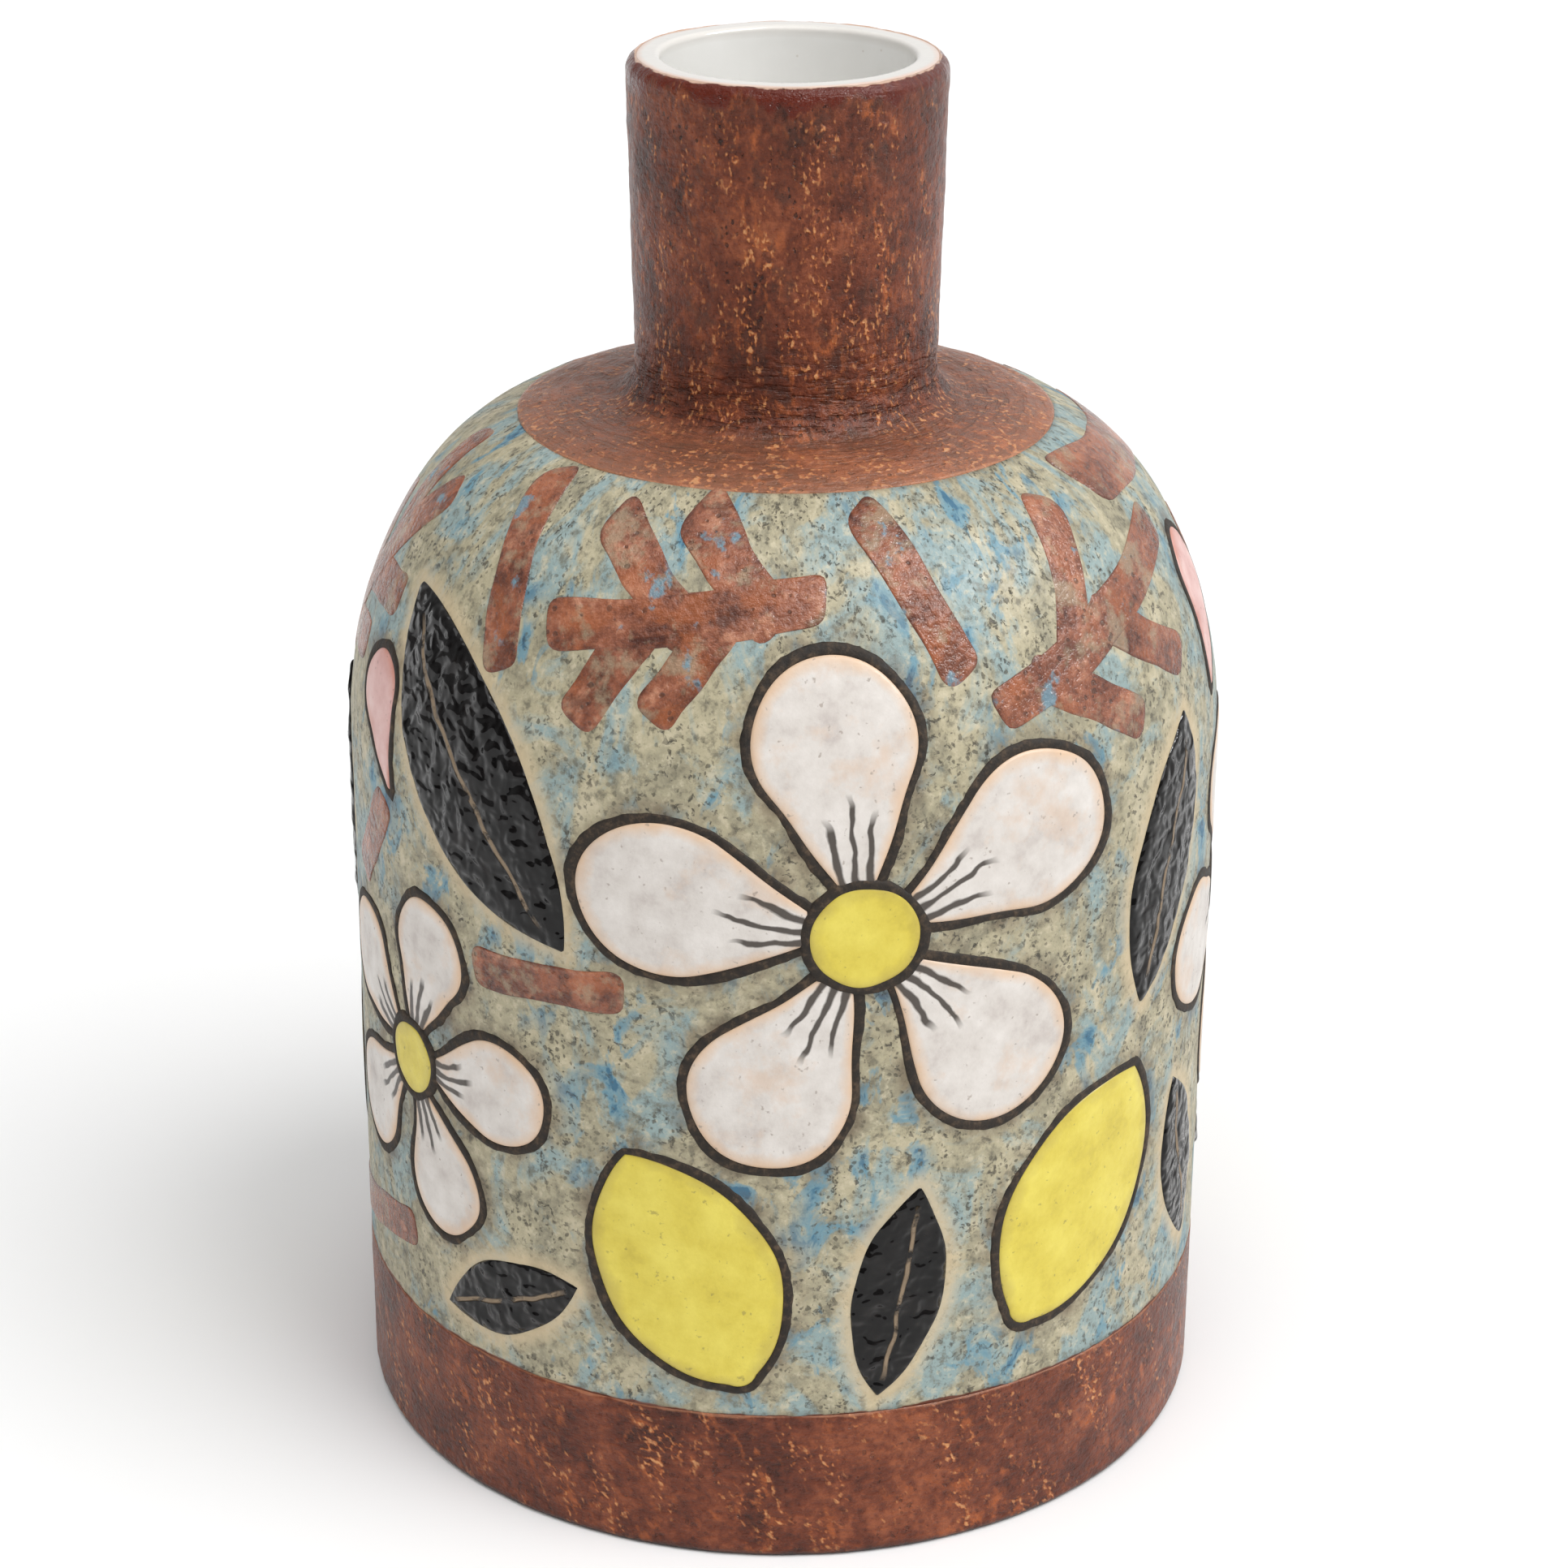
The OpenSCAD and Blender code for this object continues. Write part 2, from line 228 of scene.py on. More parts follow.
class Recipe:
    """Adds nodes to one node tree, with a short method for each kind of layer."""

    def __init__(self, tree):
        self.tree = tree

    def feed(self, socket, value):
        if isinstance(value, bpy.types.NodeSocket):
            self.tree.links.new(value, socket)
        elif isinstance(value, tuple) and len(value) == 3 and socket.type == "RGBA":
            socket.default_value = linear(value)
        else:
            socket.default_value = value

    def add(self, kind, settings=None, *values, **inputs):
        """A new node. The values go to its sockets in their order, and the inputs by name."""
        node = self.tree.nodes.new(kind)
        for key, value in (settings or {}).items():
            setattr(node, key, value)
        for socket, value in zip(node.inputs, values):
            self.feed(socket, value)
        for socket, value in inputs.items():
            self.feed(node.inputs[socket], value)
        return node

    def place(self):
        return self.add("ShaderNodeTexCoord").outputs["Object"]

    def stored(self, name, vector=False):
        node = self.add("ShaderNodeAttribute", {"attribute_name": name})
        return node.outputs["Vector" if vector else "Fac"]

    def stretch(self, where, scale):
        return self.add("ShaderNodeMapping", Vector=where, Scale=scale).outputs["Vector"]

    def parts(self, where):
        return self.add("ShaderNodeSeparateXYZ", Vector=where).outputs

    def noise(self, where, scale, detail=4.0, roughness=0.55, distortion=0.0):
        """Soft noise around 0.5. scale counts its waves in a metre."""
        node = self.add("ShaderNodeTexNoise", Vector=where, Scale=scale, Detail=detail,
                        Roughness=roughness, Distortion=distortion)
        return node.outputs["Fac"]

    def cells(self, where, scale):
        return self.add("ShaderNodeTexVoronoi", Vector=where, Scale=scale).outputs["Distance"]

    def jitter(self, where, scale, amount):
        """Moves the place of a pattern about a little, so that its shapes turn uneven."""
        drift = self.add("ShaderNodeTexNoise", Vector=where, Scale=scale, Detail=2.0)
        node = self.add("ShaderNodeVectorMath", {"operation": "MULTIPLY_ADD"},
                        drift.outputs["Color"], (amount,) * 3, where)
        return node.outputs[0]

    def lean(self, where, run, twist):
        """Turns a pattern round the axis along its run, in radians a metre, so that it slants."""
        turn = self.times(run, twist)
        node = self.add("ShaderNodeVectorRotate", {"rotation_type": "Z_AXIS"}, Vector=where, Angle=turn)
        return node.outputs["Vector"]

    def dots(self, where, scale, share, least, most):
        """Dots in a share of the pattern's cells. least and most are radii in cells."""
        node = self.add("ShaderNodeTexVoronoi", Vector=where, Scale=scale)
        chance = self.parts(node.outputs["Color"])[0]
        radius = self.band(chance, 1 - share, 1.0, most, least)
        inside = self.band(self.math("SUBTRACT", radius, node.outputs["Distance"]), 0.0, 0.12)
        return self.times(inside, self.math("GREATER_THAN", chance, 1 - share))

    def math(self, operation, a, b=0.0):
        return self.add("ShaderNodeMath", {"operation": operation}, a, b).outputs[0]

    def times(self, first, *others):
        for other in others:
            first = self.math("MULTIPLY", first, other)
        return first

    def mixed(self, *shares):
        """The sum of several values, each with its own share."""
        whole = 0.0
        for value, share in shares:
            whole = self.math("ADD", whole, self.times(value, share))
        return whole

    def band(self, value, none, full, most=1.0, least=0.0):
        """Goes from least to most as the value goes from none to full."""
        node = self.add("ShaderNodeMapRange", {"clamp": True}, value, none, full, least, most)
        return node.outputs["Result"]


class Finish(Recipe):
    """A material whose colour is laid on in layers and ends in one shader."""

    def __init__(self, name, **sockets):
        self.material = bpy.data.materials.new(name)
        self.material.use_nodes = True
        super().__init__(self.material.node_tree)
        self.shader = self.tree.nodes["Principled BSDF"]
        for socket, value in sockets.items():
            self.shader.inputs[socket.replace("_", " ")].default_value = value

    def body(self, value, *stops):
        """Starts the colour: stops along a value."""
        node = self.add("ShaderNodeValToRGB", Fac=value)
        marks = node.color_ramp.elements
        while len(marks) < len(stops):
            marks.new(0.5)
        for mark, (position, colour) in zip(marks, stops):
            mark.position = position
            mark.color = linear(colour)
        self.colour = node.outputs["Color"]

    def lay(self, colour, amount, share=1.0):
        """Lays a colour over what is there, as thick as the amount and its share say."""
        node = self.add("ShaderNodeMix", {"data_type": "RGBA"})
        self.feed(node.inputs[0], self.times(amount, share))
        self.feed(node.inputs[6], self.colour)
        self.feed(node.inputs[7], colour)
        self.colour = node.outputs[2]

    def finish(self, roughness, height, depth):
        """Wires colour, roughness and bump to the shader. depth is the bump's height in metres."""
        self.feed(self.shader.inputs["Base Color"], self.colour)
        self.feed(self.shader.inputs["Roughness"], roughness)
        bump = self.add("ShaderNodeBump", Height=height, Distance=depth, Strength=1.0)
        self.feed(self.shader.inputs["Normal"], bump.outputs["Normal"])
        return self.material


print("layers:", ", ".join(step for step in vars(Recipe) if not step.startswith("_")))

# %% [markdown]
# ## Rust glaze on the neck and the foot
# Iron in the glaze breaks from dark brown to orange: it pools dark in the hollows, runs in short
# streaks and leaves chains of pale flecks. The palest cores of the flecks are also a painted
# highlight: glints laid on as colour. An image could show that, but it would stretch and have a
# seam. Noise on the stored flow of the coat follows the neck, the sweep and the collar without either.

# %% The rust recipe
RUST_BODY = ((0.38, (62, 29, 19)), (0.46, (92, 44, 28)), (0.53, (117, 59, 37)), (0.62, (150, 84, 54)))
RUST_SHEEN = 0.28
NECK_SMOKE = (76, 49, 39)
FOOT_SMOKE = (94, 44, 27)
DASH_ORANGE = (176, 95, 50)
SPECK_ORANGE = (184, 104, 56)
FLECK_CORE_AND_GLINT = (216, 160, 108)
PIT_BLACK = (38, 25, 22)
CREASE_BROWN = (56, 32, 26)
COLLAR_TOPLIGHT_TAN = (196, 142, 112)
EDGE_TAN = (198, 138, 104)
POOL_RED = (94, 30, 16)
LIP_PEACH = (226, 190, 166)
FOOT_CONTACT_SHADOW = (50, 33, 27)


def rust_layers(f, twist, smoke_colour, smoke, chain_run, chain_scale, pits, crowd=0.0):
    """Lays the colours of neck and foot, painted glints among them, and returns gloss and relief. crowd is
    for more flecks.
    """
    flow = f.stored("flow", vector=True)
    slant = f.lean(flow, f.stored("run"), twist)
    grain = f.noise(flow, 560, 4.0, 0.62)
    weave = f.noise(f.stretch(flow, (1, 1, 2.2)), 300, 4.0, 0.65)
    cloud = f.noise(flow, 62, 6.0, 0.66, 0.4)
    f.body(f.mixed((cloud, 0.56), (grain, 0.3), (weave, 0.14)), *RUST_BODY)
    dim = f.band(f.noise(flow, 150, 6.0, 0.7), 0.52, 0.64)
    f.lay(smoke_colour, dim, smoke)
    dash = f.band(f.noise(f.stretch(slant, (1, 1, 0.7)), 330, 3.0, 0.6), 0.53, 0.68)
    dash = f.times(dash, f.band(f.noise(flow, 75, 3.0), 0.46, 0.6))
    f.lay(DASH_ORANGE, dash, 0.8)
    chains = f.noise(f.stretch(slant, (1, 1, chain_run)), chain_scale, 5.0, 0.66)
    chains = f.band(f.math("ADD", chains, crowd), 0.5, 0.62)
    fleck = f.noise(f.stretch(slant, (1, 1, 0.9)), 860, 1.0, 0.4)
    speck = f.times(f.band(fleck, 0.54, 0.62), chains)
    f.lay(SPECK_ORANGE, speck, 0.8)
    # Painted highlight: the palest fleck cores are laid on in a pale sand colour as glints, partly their
    # own paler core.
    pale_core_and_glint = f.times(f.band(fleck, 0.62, 0.7), chains)
    f.lay(FLECK_CORE_AND_GLINT, pale_core_and_glint, 0.75)
    pit = f.dots(f.jitter(flow, 800, 1.6 * MM), 640, 0.4, 0.12, 0.42)
    pit = f.times(pit, f.band(f.noise(flow, 100, 3.0), 0.54, 0.42))
    f.lay(PIT_BLACK, pit, pits)
    relief = f.mixed((cloud, 0.5), (grain, 0.35), (weave, 0.6), (speck, 0.1), (pit, -0.3))
    return f.band(grain, 0.35, 0.65, 0.42, 0.26), relief


def ragged_ends(f, length):
    """How far it is to the start and to the end of a coat's path, a little uneven."""
    run = f.stored("run")
    drift = f.band(f.noise(f.stored("flow", vector=True), 130, 3.0), 0.3, 0.7, 0.5 * MM, -0.5 * MM)
    start = f.math("ADD", run, drift)
    end = f.math("ADD", f.math("SUBTRACT", length, run), drift)
    return start, end


def neck_finish(length):
    """Rust with creases at the neck's root, a collar painted paler as if lit from above, and a red pool
    with drips under the lip.
    """
    f = Finish("rust_neck", Specular_IOR_Level=RUST_SHEEN)
    flow = f.stored("flow", vector=True)
    up = f.parts(f.place())[2]
    collar = f.band(up, CROWN_Z + 3 * MM, CROWN_Z - 4 * MM)
    lower = f.band(up, LIP_TOP, CROWN_Z + 18 * MM, 0.03, -0.06)
    gloss, relief = rust_layers(
        f, twist=2.0, smoke_colour=NECK_SMOKE, smoke=0.6, chain_run=0.5, chain_scale=150, pits=0.8,
        crowd=f.math("ADD", f.times(collar, 0.06), lower))
    root = f.band(up, CROWN_Z + 22 * MM, CROWN_Z + 6 * MM)
    crease = f.times(f.band(f.noise(f.stretch(flow, (0.5, 0.5, 3)), 260, 3.0), 0.5, 0.62), root)
    crease = f.times(crease, f.band(collar, 1.0, 0.0, 1.0, 0.2))
    f.lay(CREASE_BROWN, crease, 0.6)
    # Painted light: the upward-facing collar is laid paler, as light from above would make it.
    f.lay(COLLAR_TOPLIGHT_TAN, collar, 0.4)
    start, end = ragged_ends(f, length)
    f.lay(EDGE_TAN, f.band(start, 0.6 * MM, 0.2 * MM, 0.5))
    drips = f.band(f.noise(f.stretch(flow, (1, 1, 0.2)), 90, 3.0), 0.35, 0.65, 3 * MM, -2 * MM)
    pool = f.band(f.math("ADD", end, drips), 5.0 * MM, 3.6 * MM)
    f.lay(POOL_RED, pool, 0.85)
    gloss = f.math("SUBTRACT", gloss, f.times(pool, 0.22))
    f.lay(LIP_PEACH, f.band(end, 0.6 * MM, 0.3 * MM, 0.8))
    relief = f.math("ADD", relief, f.times(crease, -0.3))
    return f.finish(gloss, relief, 1.0 * MM)


def foot_finish(length):
    """Rust with a painted contact shadow: dark at its lower edge, where the vase stands on the table."""
    f = Finish("rust_foot", Specular_IOR_Level=RUST_SHEEN)
    gloss, relief = rust_layers(
        f, twist=4.0, smoke_colour=FOOT_SMOKE, smoke=0.4, chain_run=0.32, chain_scale=170, pits=0.3)
    start, end = ragged_ends(f, length)
    f.lay(EDGE_TAN, f.band(end, 0.6 * MM, 0.2 * MM, 0.4))
    # Painted shadow: the bottom edge is darkened where the vase stands on the table.
    f.lay(FOOT_CONTACT_SHADOW, f.band(start, 3.2 * MM, 1.4 * MM, 0.75))
    return f.finish(gloss, relief, 1.0 * MM)


print("rust has", len(RUST_BODY), "body colours")

# %% [markdown]
# The neck's coat starts at the collar on the shoulder, follows the crown, sweeps up into the neck and
# ends on the lip. Throwing rings show where it sweeps up, so those are real ridges, and the rest of
# the face is only a little lumpy.

# %% Neck and collar
NECK_PATTERN_R = 45 * MM
NECK_STEPS = 304
NECK_STEP = 0.75 * MM
neck_straight_z = CROWN_Z + ROOT_SWEEP_R
lip_z = LIP_TOP - LIP_R
lip_c = (NECK_TOP_R - LIP_R, lip_z)
lip_angle = math.degrees(math.acos((LIP_EDGE_R - lip_c[0]) / LIP_R))
neck_path = path_of(
    arc(crown_c, crown_arc_r, collar_angle, 90, NECK_STEP),
    arc((crown_ring_r, neck_straight_z), ROOT_SWEEP_R, 270, 180, 0.6 * MM),
    straight((NECK_ROOT_R, neck_straight_z), (NECK_TOP_R, lip_z), NECK_STEP),
    arc(lip_c, LIP_R, 0, lip_angle, 0.4 * MM),
)


def neck_height(place, run):
    uneven = lumps(place, (0.16, 130), (0.1, 330), (0.07, 520))
    root = math.exp(-(((place.z - neck_straight_z + 2 * MM) / (9 * MM)) ** 2))
    rings = noise.noise(Vector((place.x * 40, place.y * 40, run * 420)))
    return (0.12 + uneven + 0.34 * root * rings) * MM


neck_spun = coat(neck_path, COAT, NECK_STEPS, NECK_PATTERN_R)
neck_rust = neck_finish(neck_spun[1])
piece("neck_skin", roughen(neck_spun, neck_height), neck_rust, "rust_glaze", "neck_glaze")

# %% [markdown]
# The foot's band wraps round the bottom edge, which is painted dark there as a contact shadow on the
# table.

# %% Foot band
FOOT_STEPS = 560
foot_path = path_of(
    arc((BODY_R - FOOT_EDGE_R, FOOT_EDGE_R), FOOT_EDGE_R, -90, 0, 0.35 * MM),
    straight((BODY_R, FOOT_EDGE_R), (BODY_R, BAND_Z), 0.9 * MM),
)


def foot_height(place, run):
    uneven = lumps(place, (0.12, 120), (0.09, 340), (0.05, 520))
    return (0.08 + uneven) * min(1, run / (3 * MM)) * MM


foot_spun = coat(foot_path, COAT, FOOT_STEPS, BODY_R)
foot_rust = foot_finish(foot_spun[1])
piece("foot_skin", roughen(foot_spun, foot_height), foot_rust, "rust_glaze", "foot_glaze")

# %% [markdown]
# ## White lining
# A glossy off-white glaze was poured in and out again, so it lines the whole inside and turns over the
# lip, where it is thinner and greyer, and warm where it meets the rust. Below the lip it is painted
# near pure white, a painted light that lifts the shade inside the neck. One path runs from the lip
# down to the middle of the floor.

# %% Lining and lip
LINING_LIFTED_WHITE = ((0.3, (250, 249, 245)), (0.7, (255, 254, 251)))
LIP_GREY = (229, 225, 219)
LIP_WARM = (226, 180, 154)
LINING_SPECK = (206, 196, 184)
LINING_STEPS = 224
bore_top = (MOUTH_R + MOUTH_EDGE_R, LIP_TOP - MOUTH_EDGE_R)
lining_path = path_of(
    arc(lip_c, LIP_R, lip_angle, 90, 0.3 * MM),
    straight((lip_c[0], LIP_TOP), (bore_top[0], LIP_TOP), 0.5 * MM),
    arc(bore_top, MOUTH_EDGE_R, 90, 180, 0.3 * MM),
    straight((MOUTH_R, bore_top[1]), (MOUTH_R, CROWN_Z - WALL), 1.2 * MM),
    straight((MOUTH_R, CROWN_Z - WALL), (crown_ring_r, CROWN_Z - WALL), 2 * MM),
    arc(crown_c, crown_arc_r - WALL, 90, sweep_end, 3 * MM),
    arc(sweep_c, sweep_arc_r - WALL, sweep_end, 0, 4 * MM),
    straight((BODY_R - WALL, WALL_Z), (BODY_R - WALL, FLOOR_Z), 5 * MM),
    straight((BODY_R - WALL, FLOOR_Z), (0, FLOOR_Z), 5 * MM),
)


def lining_height(place, run):
    return lumps(place, (0.14, 95)) * MM


def lining_finish():
    f = Finish("lining_glaze_white", Coat_Weight=0.4, Coat_Roughness=0.06)
    here = f.place()
    run = f.stored("run")
    tone = f.noise(here, 60, 4.0)
    # Painted light: the body is near pure white, whiter than the glaze, so the shaded inside looks lit;
    # the lip keeps a greyer white.
    f.body(tone, *LINING_LIFTED_WHITE)
    f.lay(LIP_GREY, f.band(run, 7 * MM, 5 * MM))
    drift = f.band(f.noise(here, 120, 3.0), 0.3, 0.7, 0.7 * MM, 0.0)
    warm = f.band(f.math("SUBTRACT", run, drift), 1.2 * MM, 0.0)
    f.lay(LIP_WARM, warm, 0.6)
    speck = f.band(f.cells(here, 260), 0.08, 0.05)
    f.lay(LINING_SPECK, speck, 0.4)
    return f.finish(f.band(tone, 0.3, 0.7, 0.2, 0.12), tone, 0.25 * MM)


lining_spun = coat(lining_path, LINING, LINING_STEPS, MOUTH_R)
piece("lining_skin", roughen(lining_spun, lining_height), lining_finish(), "lining_white",
      "lining_glaze")

# %% [markdown]
# ## Painting on a round wall
# The motifs are drawn flat, in the plane that touches the wall at their own azimuth, and then sent on
# to the wall, as the part's own cuts were. Each is [azimuth from the front, height over the foot band,
# length, turn], in degrees of girth, and a twig also has its number of shoots. Outlines are closed
# curves with evenly spaced points, and hand_drawn() lets them waver as a brush does.

# %% Outlines and their way on to the wall
BLOSSOMS = [[10, 67, 31, 8], [-56, 38, 22, -14], [92, 50, 26, 22], [166, 62, 27, -8], [-130, 54, 26, 14]]
LEMONS = [[42, 24, 36, -34], [-12, 20, 35, 26], [127, 18, 35, 14], [-166, 20, 36, -28], [-96, 22, 33, -22]]
LEAVES = [
    [-44, 81, 50, 40], [15, 17, 30, -10], [58, 66, 38, -16], [67, 19, 28, 14],
    [128, 64, 42, 26], [96, 11, 26, 76], [151, 20, 32, -18], [-161, 90, 38, 66],
    [-90, 62, 40, -8], [-128, 12, 28, 72], [-38, 10, 25, -66],
]
BUDS = [[80, 92, 20, -20], [-64, 82, 18, 26], [124, 98, 18, 10], [-106, 92, 18, -24]]
TWIGS = [
    [50, 99, 37, -72, 3], [-137, 102, 37, -103, 3], [143, 98, 36, 38, 3], [-83, 96, 30, -38, 4],
    [-15, 104, 29, 99, 4], [102, 89, 25, -143, 2], [90, 111, 32, -93, 0], [-73, 8, 27, 104, 0],
    [169, 22, 25, 19, 0], [173, 104, 19, 129, 0], [-31, 57, 17, 94, 0], [-44, 105, 16, 19, 0],
    [126, 45, 16, -126, 0], [20, 106, 14, 26, 0], [-67, 65, 12, 144, 0],
]
SEED = {"middle line": 3, "lemon": 11, "lemon line": 20, "leaf": 31, "bud": 51, "bud line": 57,
        "twig": 71, "shoot": 80}


def on_girth(angle):
    return math.radians(angle) * BODY_R


def length_of(motif):
    return on_girth(motif[2])


def turned(flat, angle):
    c, s = math.cos(math.radians(angle)), math.sin(math.radians(angle))
    return flat @ np.array([[c, s], [-s, c]])


def on_wall(flat, motif, lift, turn=0.0, start=(0, 0)):
    """Moves flat points within their motif, sends them on to the wall, and off it by the lift."""
    azimuth, above_band, _, slope = motif[:4]
    across, up = turned(turned(flat, turn) + np.array(start), slope).T
    height = BAND_Z + on_girth(above_band) + up
    radius, tilt = wall_at(height)
    spot = np.c_[across, -np.sqrt(np.maximum(radius**2 - across**2, 0))]
    out = turned(spot, azimuth) / radius[:, None]
    lift = np.broadcast_to(lift, height.shape)
    return np.c_[out * (radius + lift * np.cos(tilt))[:, None], height + lift * np.sin(tilt)]


def even(points, count):
    """The closed curve through these points, with evenly spaced ones instead."""
    ring = np.vstack([points, points[:1]])
    run = np.r_[0, np.cumsum(np.linalg.norm(np.diff(ring, axis=0), axis=1))]
    stops = np.linspace(0, run[-1], count, endpoint=False)
    return np.c_[np.interp(stops, run, ring[:, 0]), np.interp(stops, run, ring[:, 1])]


def outward(outline):
    """The outward direction at each point of a curve that runs anticlockwise."""
    along = np.roll(outline, -1, axis=0) - np.roll(outline, 1, axis=0)
    along /= np.linalg.norm(along, axis=1)[:, None]
    return np.c_[along[:, 1], -along[:, 0]]


def waver(count, seed):
    """A smooth wave of about -1 to 1 round a closed curve."""
    turn = np.linspace(0, math.tau, count, endpoint=False)
    waves = [math.sin(1.9 * seed + k) / k**0.5 * np.cos(k * turn + 2.3 * seed * k) for k in (2, 3, 5, 7)]
    return sum(waves)


def hand_drawn(points, count, seed, amount):
    outline = even(points, count)
    return outline + outward(outline) * (amount * waver(count, seed))[:, None]


def drop(length, width):
    """A drop with its point at the origin and its round end up."""
    end_r = width / 2
    end_y = length - end_r
    lean = math.degrees(math.asin(end_r / end_y))
    return np.vstack([[[0, 0]], arc((0, end_y), end_r, -lean, 180 + lean, end_r / 20)])


def pointed_oval(length, width):
    bow_r = (length**2 + width**2) / (4 * width)
    half = math.degrees(math.asin(length / 2 / bow_r))
    right = arc((width / 2 - bow_r, 0), bow_r, -half, half, length / 40)
    return np.vstack([right, -right[1:-1]])


def lemon_shape(length, width, tip_r):
    """A pointed oval with a blunt tip at its lower end, walked round from its middle."""
    bow_r = (length**2 + width**2) / (4 * width)
    turn = np.linspace(0, math.tau, 400, endpoint=False)
    ray = np.c_[np.cos(turn), np.sin(turn)]

    def way_out(centre, radius):
        ahead = ray @ np.array(centre)
        left = ahead**2 - np.dot(centre, centre) + radius**2
        return np.where(left > 0, ahead + np.sqrt(np.maximum(left, 0)), 0)

    bows = np.minimum(way_out((bow_r - width / 2, 0), bow_r), way_out((width / 2 - bow_r, 0), bow_r))
    tip = way_out((0, tip_r - length / 2), tip_r)
    return ray * np.maximum(bows, tip)[:, None]


def stroke_shape(length, width):
    """One stroke of a flat brush: straight, with nearly square ends."""
    turn = np.linspace(0, math.pi, 40)
    across = width / 2 * np.sign(np.cos(turn)) * np.abs(np.cos(turn)) ** 0.55
    bulge = width / 2 * np.sin(turn) ** 0.55
    return np.vstack([np.c_[-across, -bulge], np.c_[across, length + bulge]])


print("one degree of girth is %.3f mm" % (on_girth(1) / MM))

# %% [markdown]
# ## Cushions of glaze and drawn lines
# Thick glaze stands on the wall as a low cushion with a rounded edge. A ball from create_uvsphere has
# just the right net for it: its rings become smaller copies of the outline and its poles the middle.
# A drawn line is a ring, so it starts as a small circle that is spun and then laid along an outline.

# %% Cushion and line
SINK = 0.12 * MM
BURY = 0.3 * MM
LINE_W = 1.8 * MM
RING_R = 0.25


def join(whole, part):
    """Adds a finished small bmesh to a larger one, with its faces turned outwards."""
    bmesh.ops.recalc_face_normals(part, faces=part.faces)
    carrier = bpy.data.meshes.new("carrier")
    part.to_mesh(carrier)
    part.free()
    whole.from_mesh(carrier)
    bpy.data.meshes.remove(carrier)


def cushion(whole, outline, motif, swell, edge, rows, turn=0.0, start=(0, 0), bulge=None):
    """Swells an outline, turned and moved within its motif, into a low cushion on the wall."""
    bm = bmesh.new()
    rim_layer = bm.verts.layers.float.new("rim")
    own_layer = bm.verts.layers.float_vector.new("own")
    count = len(outline)
    middle = outline.mean(axis=0)
    made = bmesh.ops.create_uvsphere(bm, u_segments=count, v_segments=2 * rows, radius=1)
    ball = np.array([v.co for v in made["verts"]])
    spoke = np.arctan2(ball[:, 1], ball[:, 0]) / math.tau % 1 * count
    first = np.floor(spoke).astype(int)
    part = (spoke - first)[:, None]
    rim = outline[first % count] * (1 - part) + outline[(first + 1) % count] * part
    share = np.minimum(np.hypot(ball[:, 0], ball[:, 1]), 1)
    flat = middle + (rim - middle) * share[:, None]
    inset = (1 - share) * np.linalg.norm(rim - middle, axis=1)
    crest = np.sqrt(1 - (1 - np.minimum(inset / edge, 1)) ** 2)
    top = swell + SINK
    if bulge:
        top = top + np.array([bulge(Vector((*p, 0.01 * motif[0]))) for p in flat])
    lift = np.where(ball[:, 2] > -1e-4, top * crest, -BURY * crest) - SINK
    spots = on_wall(flat, motif, lift, turn, start)
    for v, spot, p, d in zip(made["verts"], spots, flat, inset):
        v.co = spot
        v[rim_layer] = d
        v[own_layer] = (*p, length_of(motif))
    join(whole, bm)


def drawn_line(whole, outline, motif, swell, seed, turn=0.0, start=(0, 0), tuck=0.25 * MM):
    """Lays a dark line round the outside of an outline, and returns its outer edge on the wall."""
    bm = bmesh.new()
    count = len(outline)
    upright = Matrix.Translation((1, 0, 0)) @ Matrix.Rotation(math.pi / 2, 4, "X")
    section = bmesh.ops.create_circle(bm, segments=10, radius=RING_R, matrix=upright)["verts"]
    bmesh.ops.spin(bm, geom=section + bm.edges[:], cent=(0, 0, 0), axis=(0, 0, 1), angle=math.tau,
                   steps=count, use_merge=True)
    ring = np.array([v.co for v in bm.verts])
    spoke = np.rint(np.arctan2(ring[:, 1], ring[:, 0]) / math.tau * count).astype(int) % count
    across = (np.hypot(ring[:, 0], ring[:, 1]) - 1) / RING_R
    up = ring[:, 2] / RING_R
    ragged = np.array([noise.noise(Vector((*p, 0.01 * seed)) * 520) for p in outline])
    width = LINE_W * (1.05 + 0.25 * waver(count, seed) + 0.16 * ragged)
    offset = (across + 1) / 2 * (width[spoke] + tuck) - tuck
    aim = outward(outline)
    flat = outline[spoke] + aim[spoke] * offset[:, None]
    lift = np.where(up > 0, (swell + SINK) * up, BURY * up) - SINK
    spots = on_wall(flat, motif, lift, turn, start)
    for v, spot in zip(bm.verts, spots):
        v.co = spot
    join(whole, bm)
    edge = outline + aim * width[:, None]
    return on_wall(edge, motif, 0.0, turn, start)


line_edges = []
leaf_edges = []
print("drawn lines are about %.1f mm wide" % (LINE_W / MM))

# %% [markdown]
# The dark lines are a dry iron pigment: matt, broken and not quite black.

# %% The line's pigment
LINE_BODY = ((0.3, (30, 26, 23)), (0.52, (52, 44, 37)), (0.72, (92, 76, 61)))


def line_finish():
    f = Finish("iron_line", Specular_IOR_Level=0.3)
    here = f.place()
    grain = f.noise(here, 520, 5.0, 0.65)
    f.body(grain, *LINE_BODY)
    return f.finish(f.band(grain, 0.3, 0.7, 0.85, 0.55), grain, 0.4 * MM)


iron_line = line_finish()
print("pigment", iron_line.name)

# %% [markdown]
# ## White blossoms
# Five drops round a yellow middle, in a satin white that goes grey and peach where it is thin, and
# warm beside the lines. Three thin strokes fan out from the middle of each petal. They are worked
# out from the petal's own flat coordinates, so they need no extra mesh.

